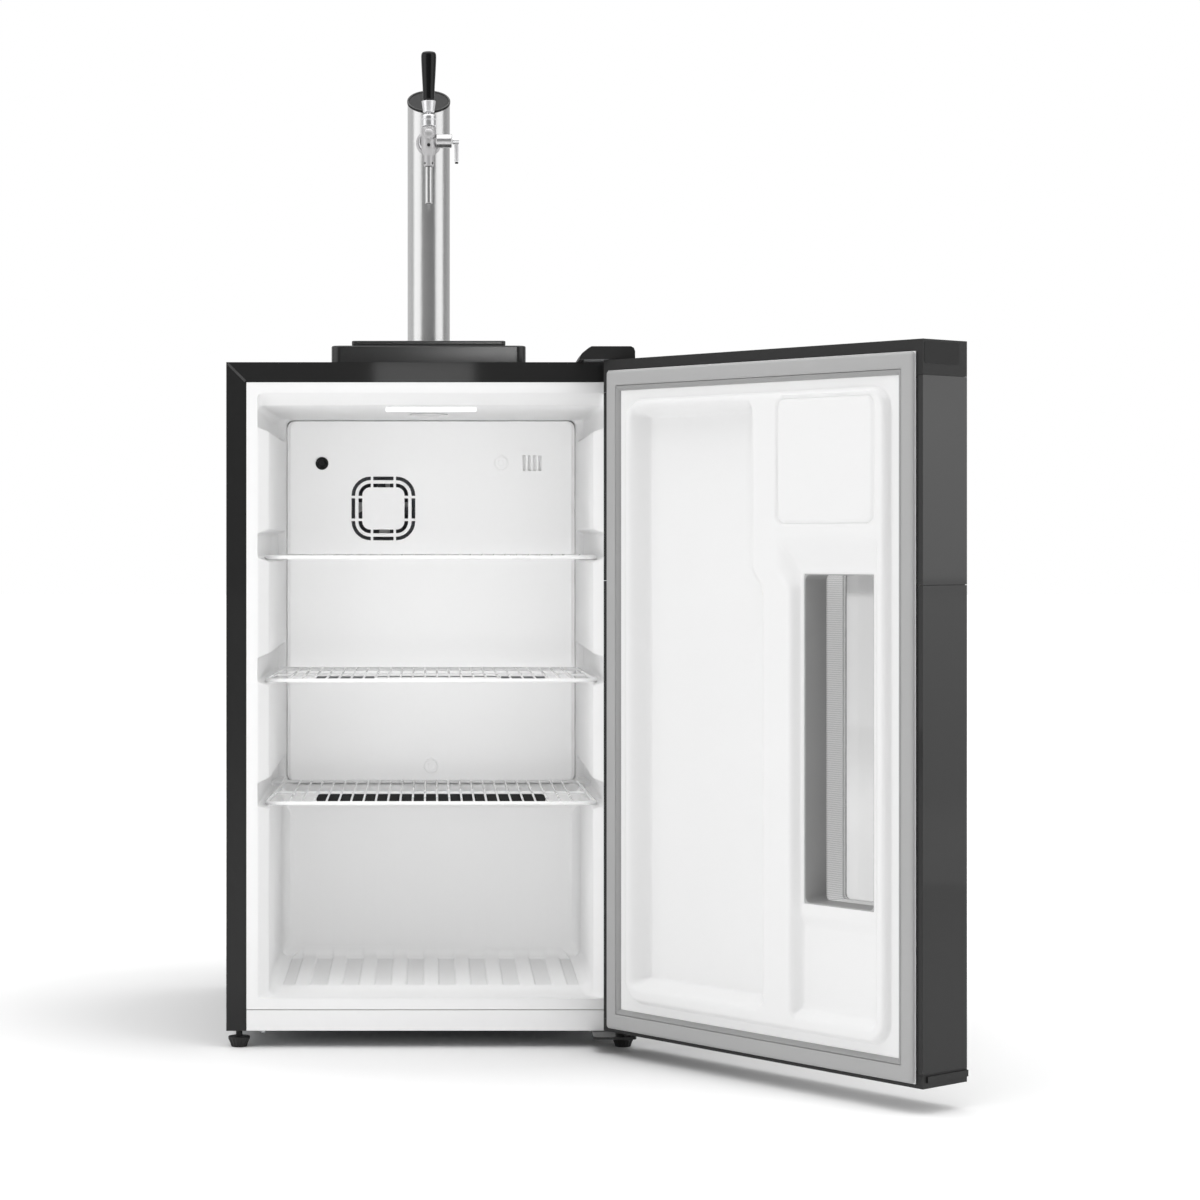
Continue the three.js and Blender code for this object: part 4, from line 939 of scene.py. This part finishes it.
def add_faucet():
    tap = CABINET @ upright(*TAP_AXIS)
    flange = lathe([(9.5, -2), (16.3, -2), (16.3, 9.4), (15.5, 11.4), (14.4, 12.2), (14.2, 13.4),
                    (9.5, 13.4), (9.5, -2)], 0.5, 72)
    add_piece("shank_rosette", flange, tap @ facing_front(0, 42, SHANK_HEIGHT), "cast_chrome", "cabinet",
              ["shank_flange"])
    nut = lathe([(9.5, 0), (12.7, 0), (13, 0.6), (13, 8.6), (11.8, 10.1), (9.5, 10.1), (9.5, 0)], 0.5, 72)
    add_piece("shank_nut", nut, tap @ facing_front(0, 28.2, SHANK_HEIGHT), "chrome", "cabinet",
              ["coupling_nut"])
    radius, top = BODY["radius"], BODY["top"]
    barrel = lathe([(0, BODY["bottom"]), (6.5, BODY["bottom"]), (6.5, 1112), (radius, 1121),
                    (radius, top), (7.6, top), (7.6, top - 4), (0, top - 4)], 1.2)
    tail = moved(lathe([(0, 0), (radius, 0), (radius, 20), (0, 20)], 1),
                 facing_front(0, 17.7, SHANK_HEIGHT))
    arm = moved(lathe([(0, 0), (6, 0), (6, 11), (0, 11)], 1), facing_right(0, 0, CONTROL_HEIGHT))
    nose = moved(lathe([(0, 0), (8, 0), (8, 9), (0, 9)], 1), facing_front(0, 0, BODY["cap_height"]))
    body = add_piece("tap_body", join([barrel, tail, arm, nose]), tap, "cast_chrome", "cabinet",
                     ["faucet_body"])
    body.modifiers.clear()
    blend = body.modifiers.new("one_casting", "REMESH")
    blend.mode = "VOXEL"
    blend.voxel_size = 0.45 * MM
    blend.use_smooth_shade = True
    polish = body.modifiers.new("polished", "CORRECTIVE_SMOOTH")
    polish.iterations = 10
    polish.use_only_smooth = True
    cap = lathe([(0, 0), (7.5, 0), (7.5, 2.4), (7.1, 2.9), (6.5, 2.7), (5.2, 3.5), (3, 4.1),
                 (0, 4.4)], 0.6, 64)
    add_piece("tap_front_cap", cap, tap @ facing_front(0, -6.6, BODY["cap_height"]), "cast_chrome",
              "cabinet")
    flow = lathe([(0, 9.3), (8.3, 9.3), (8.9, 10.4), (8.9, 28.8), (8.1, 29.9), (0, 29.9)], 0.5, 64)
    add_piece("flow_barrel", flow, tap @ facing_right(0, 0, CONTROL_HEIGHT), "satin_chrome",
              "cabinet")
    dark = lathe([(0, 0), (2.2, 0), (2.2, 0.5), (0, 0.5)], 0.1, 24)
    add_piece("body_vent", dark, tap @ facing_front(0, -9.2, 1125), "black_rubber", "cabinet")
    vent = lathe([(0, 0), (1.3, 0), (1.3, 0.4), (0, 0.4)], 0.1, 16)
    for name, turn in (("left", -48), ("right", 48)):
        place = Matrix.Rotation(math.radians(turn), 4, "Z") @ facing_front(0, -6.3, 1102.3)
        add_piece("spout_vent_" + name, vent, tap @ place, "black_rubber", "cabinet")
    bonnet = lathe([(5.2, 8.4), (5.2, 14.9), (8.4, 14.9), (9.5, 13.6), (9.5, 9.4), (8.9, 8.9),
                    (9.5, 8.4), (9.5, 0.9), (8.6, 0), (7.6, 0), (5.2, 8.4)], 0.25, 72)
    add_piece("ringed_bonnet", bonnet, tap @ upright(0, 0, top + 0.3), "turned_chrome", "cabinet",
              ["faucet_bonnet"])
    spout = lathe([(3.4, 1051), (4.6, 1051), (4.9, 1051.6), (4.9, 1097.6), (3.4, 1097.6),
                   (3.4, 1051)], 0.2, 64)
    add_piece("spout_pipe", spout, tap, "stainless", "cabinet", ["spout_tube"])


def add_tap_controls():
    tap = CABINET @ upright(*TAP_AXIS)
    stub = moved(lathe([(0, 30.3), (4.2, 30.3), (4.2, 38.9), (0, 38.9)], 0.6, 40),
                 facing_right(0, 0, CONTROL_HEIGHT))
    paddle = slab((33.1, 38.5), (-1.9, 1.9), (1103.5, CONTROL_HEIGHT), 1.6, 6)
    add_piece("flow_paddle", join([stub, paddle]), tap, "bright_chrome", "flow_control", ["flow_lever"])
    # Painted shade: a black tip under the paddle stands in for the shade on the paddle's underside.
    dark_underside = slab((33.6, 38), (-1.7, 1.7), (1102, 1104), 0.9, 4)
    add_piece("paddle_tip", dark_underside, tap, "black_rubber", "flow_control")
    pivot = tap @ upright(0, 0, PIVOT_HEIGHT)
    lever = lathe([(0, -14.5), (1.8, -14.5), (1.8, -4.2), (3.4, -3.1), (4.6, 0), (3.4, 3.1), (3, 3.6),
                   (3, 6.4), (5.6, 6), (7.2, 7), (9.2, 20.6), (8.9, 21), (0, 21)], 0.4, 64)
    add_piece("lever_ferrule", lever, pivot, "turned_chrome", "tap", ["tap_lever"])
    handle = lathe([(0, 21.3), (7.8, 21.3), (7.6, 28), (7.8, 38), (8.9, 57), (9.6, 72), (9.75, 78),
                    (9.4, 81.6), (7.8, 83.7), (4, 84.4), (0, 84.5)], 3, 72)
    add_piece("black_handle", handle, pivot, "glossy_black", "tap", ["tap_handle"],
              crease=60)


# Machinery in the open niche at the back.
def add_machinery():
    can = lathe([(0, 0), (48, 0), (53.6, 7), (53.6, 70), (55, 71), (55, 75), (53, 76.5), (53, 100),
                 (44, 124), (24, 138), (0, 141)], 6, 72)
    mount = plate("z", [rounded((-78, 78), (-52, 52), 8)], (0, 3), 0.6)
    grommet = lathe([(0, -10), (8, -10), (8, -6.4), (6.6, -5.6), (6.6, -4.4), (8, -3.6), (8, 0.9),
                     (0, 0.9)], 0.8)
    corners = [moved(grommet, upright(x, y)) for x in (-68, 68) for y in (-42, 42)]
    add_piece("compressor_can", join([can, mount] + corners), CABINET @ upright(-20, 428, 34),
              "black_steel", "cabinet", ["compressor"])
    drier = lathe([(0, 0), (3, 0), (3, 12), (9, 22), (9, 92), (3, 102), (3, 114), (0, 114)], 4)
    add_piece("drier_bottle", drier, CABINET @ upright(130, 400, 60), "copper", "cabinet",
              ["filter_drier"])


# Copper pipes of the cooling circuit, each as a radius, a bend and its corners, and the screws of the
# back panel.
PIPES = {
    "suction_pipe": (3.2, 14, [(-66, 428, 128), (-112, 428, 128), (-112, 428, 249)]),
    "discharge_pipe": (2.6, 12, [(-60, 440, 100), (-150, 462, 100), (-150, 462, 249)]),
    "drier_inlet": (2.4, 9, [(130, 400, 61), (130, 400, 46), (178, 400, 46), (178, 400, 249)]),
    "capillary": (1.2, 6, [(130, 400, 172), (130, 400, 196), (148, 400, 196), (148, 412, 150),
                           (158, 412, 150), (158, 400, 249)]),
    "charging_tube": (2.4, 8, [(-10, 478, 84), (-10, 492, 84), (-10, 492, 128)]),
}
BACK_SCREWS = {"face": 503.9, "x": 236, "z": (268, 395, 522, 650, 778), "top": 824,
               "top_x": (-150, 0, 150)}


def add_back_details():
    for name, (radius, reach, corners) in PIPES.items():
        pipe = wire(bent(corners, reach), radius, 14)
        add_piece(name, pipe, CABINET, "copper", "cabinet", crease=60)
    head = lathe([(0, 0), (4.6, 0), (4.6, 0.5), (3.6, 1.6), (1.9, 2), (1.7, 1.1), (0, 1.1)], 0.2, 32)
    places = [(side * BACK_SCREWS["x"], z) for side in (-1, 1) for z in BACK_SCREWS["z"]]
    places += [(x, BACK_SCREWS["top"]) for x in BACK_SCREWS["top_x"]]
    heads = [moved(head, facing_back(x, BACK_SCREWS["face"], z)) for x, z in places]
    add_piece("back_panel_screws", join(heads), CABINET, "black_steel", "cabinet")


# CAD pieces that keep their own mesh get their finish, and those in view get softened edges.
SOFT_EDGES = {
    0.4: ["base_pan", "niche_panel"],
    0.5: ["back_panel", "drip_tray", "door_upper_skin", "door_lower_skin", "control_panel"],
    0.6: ["front_rail", "top_hinge_plate", "bottom_hinge_bracket", "compressor_plate",
          "evaporation_tray", "rear_left_foot", "rear_right_foot"],
    0.8: ["lamp_cover"],
    0.9: ["door_top_trim", "door_bottom_trim"],
    1.0: ["cabinet_shell"],
    1.2: ["terminal_cover"],
    1.4: ["top_hinge_cover"],
}
FOAM_GAP = 4.5


def soften(node, width):
    piece = frame["nodes"][node]
    flat = piece.modifiers.new("flat_faces", "DECIMATE")
    flat.decimate_type = "DISSOLVE"
    flat.angle_limit = math.radians(1)
    edges = piece.modifiers.new("soft_edges", "BEVEL")
    edges.width = width * MM
    edges.segments = 3
    edges.limit_method = "ANGLE"
    edges.angle_limit = math.radians(35)
    edges.harden_normals = True


def shrink(node, by):
    piece = frame["nodes"][node]
    piece.modifiers.new("whole", "WELD")
    smaller = piece.modifiers.new("behind_its_skin", "DISPLACE")
    smaller.mid_level = 0
    smaller.strength = -by * MM


def finish_cad_pieces():
    special = {"fan_frame": "dark_filter", "fan_rotor": "dark_filter", "glass_spacer": "ribbed_spacer"}
    for part in frame["record"]["subparts"]:
        materials = frame["nodes"][part["node"]].data.materials
        materials.clear()
        materials.append(FINISHES[special.get(part["node"], part["material_slot"])])
    for width, nodes in SOFT_EDGES.items():
        for node in nodes:
            soften(node, width)
    for node in ("cabinet_foam", "door_foam"):
        shrink(node, FOAM_GAP)


add_finishes()
finish_cad_pieces()
add_liner()
add_rear_wall()
add_shelves()
add_door_liner()
add_gasket()
add_window()
add_trim()
add_feet()
add_plinth()
add_column()
add_faucet()
add_tap_controls()
add_machinery()
add_back_details()
add_studio()
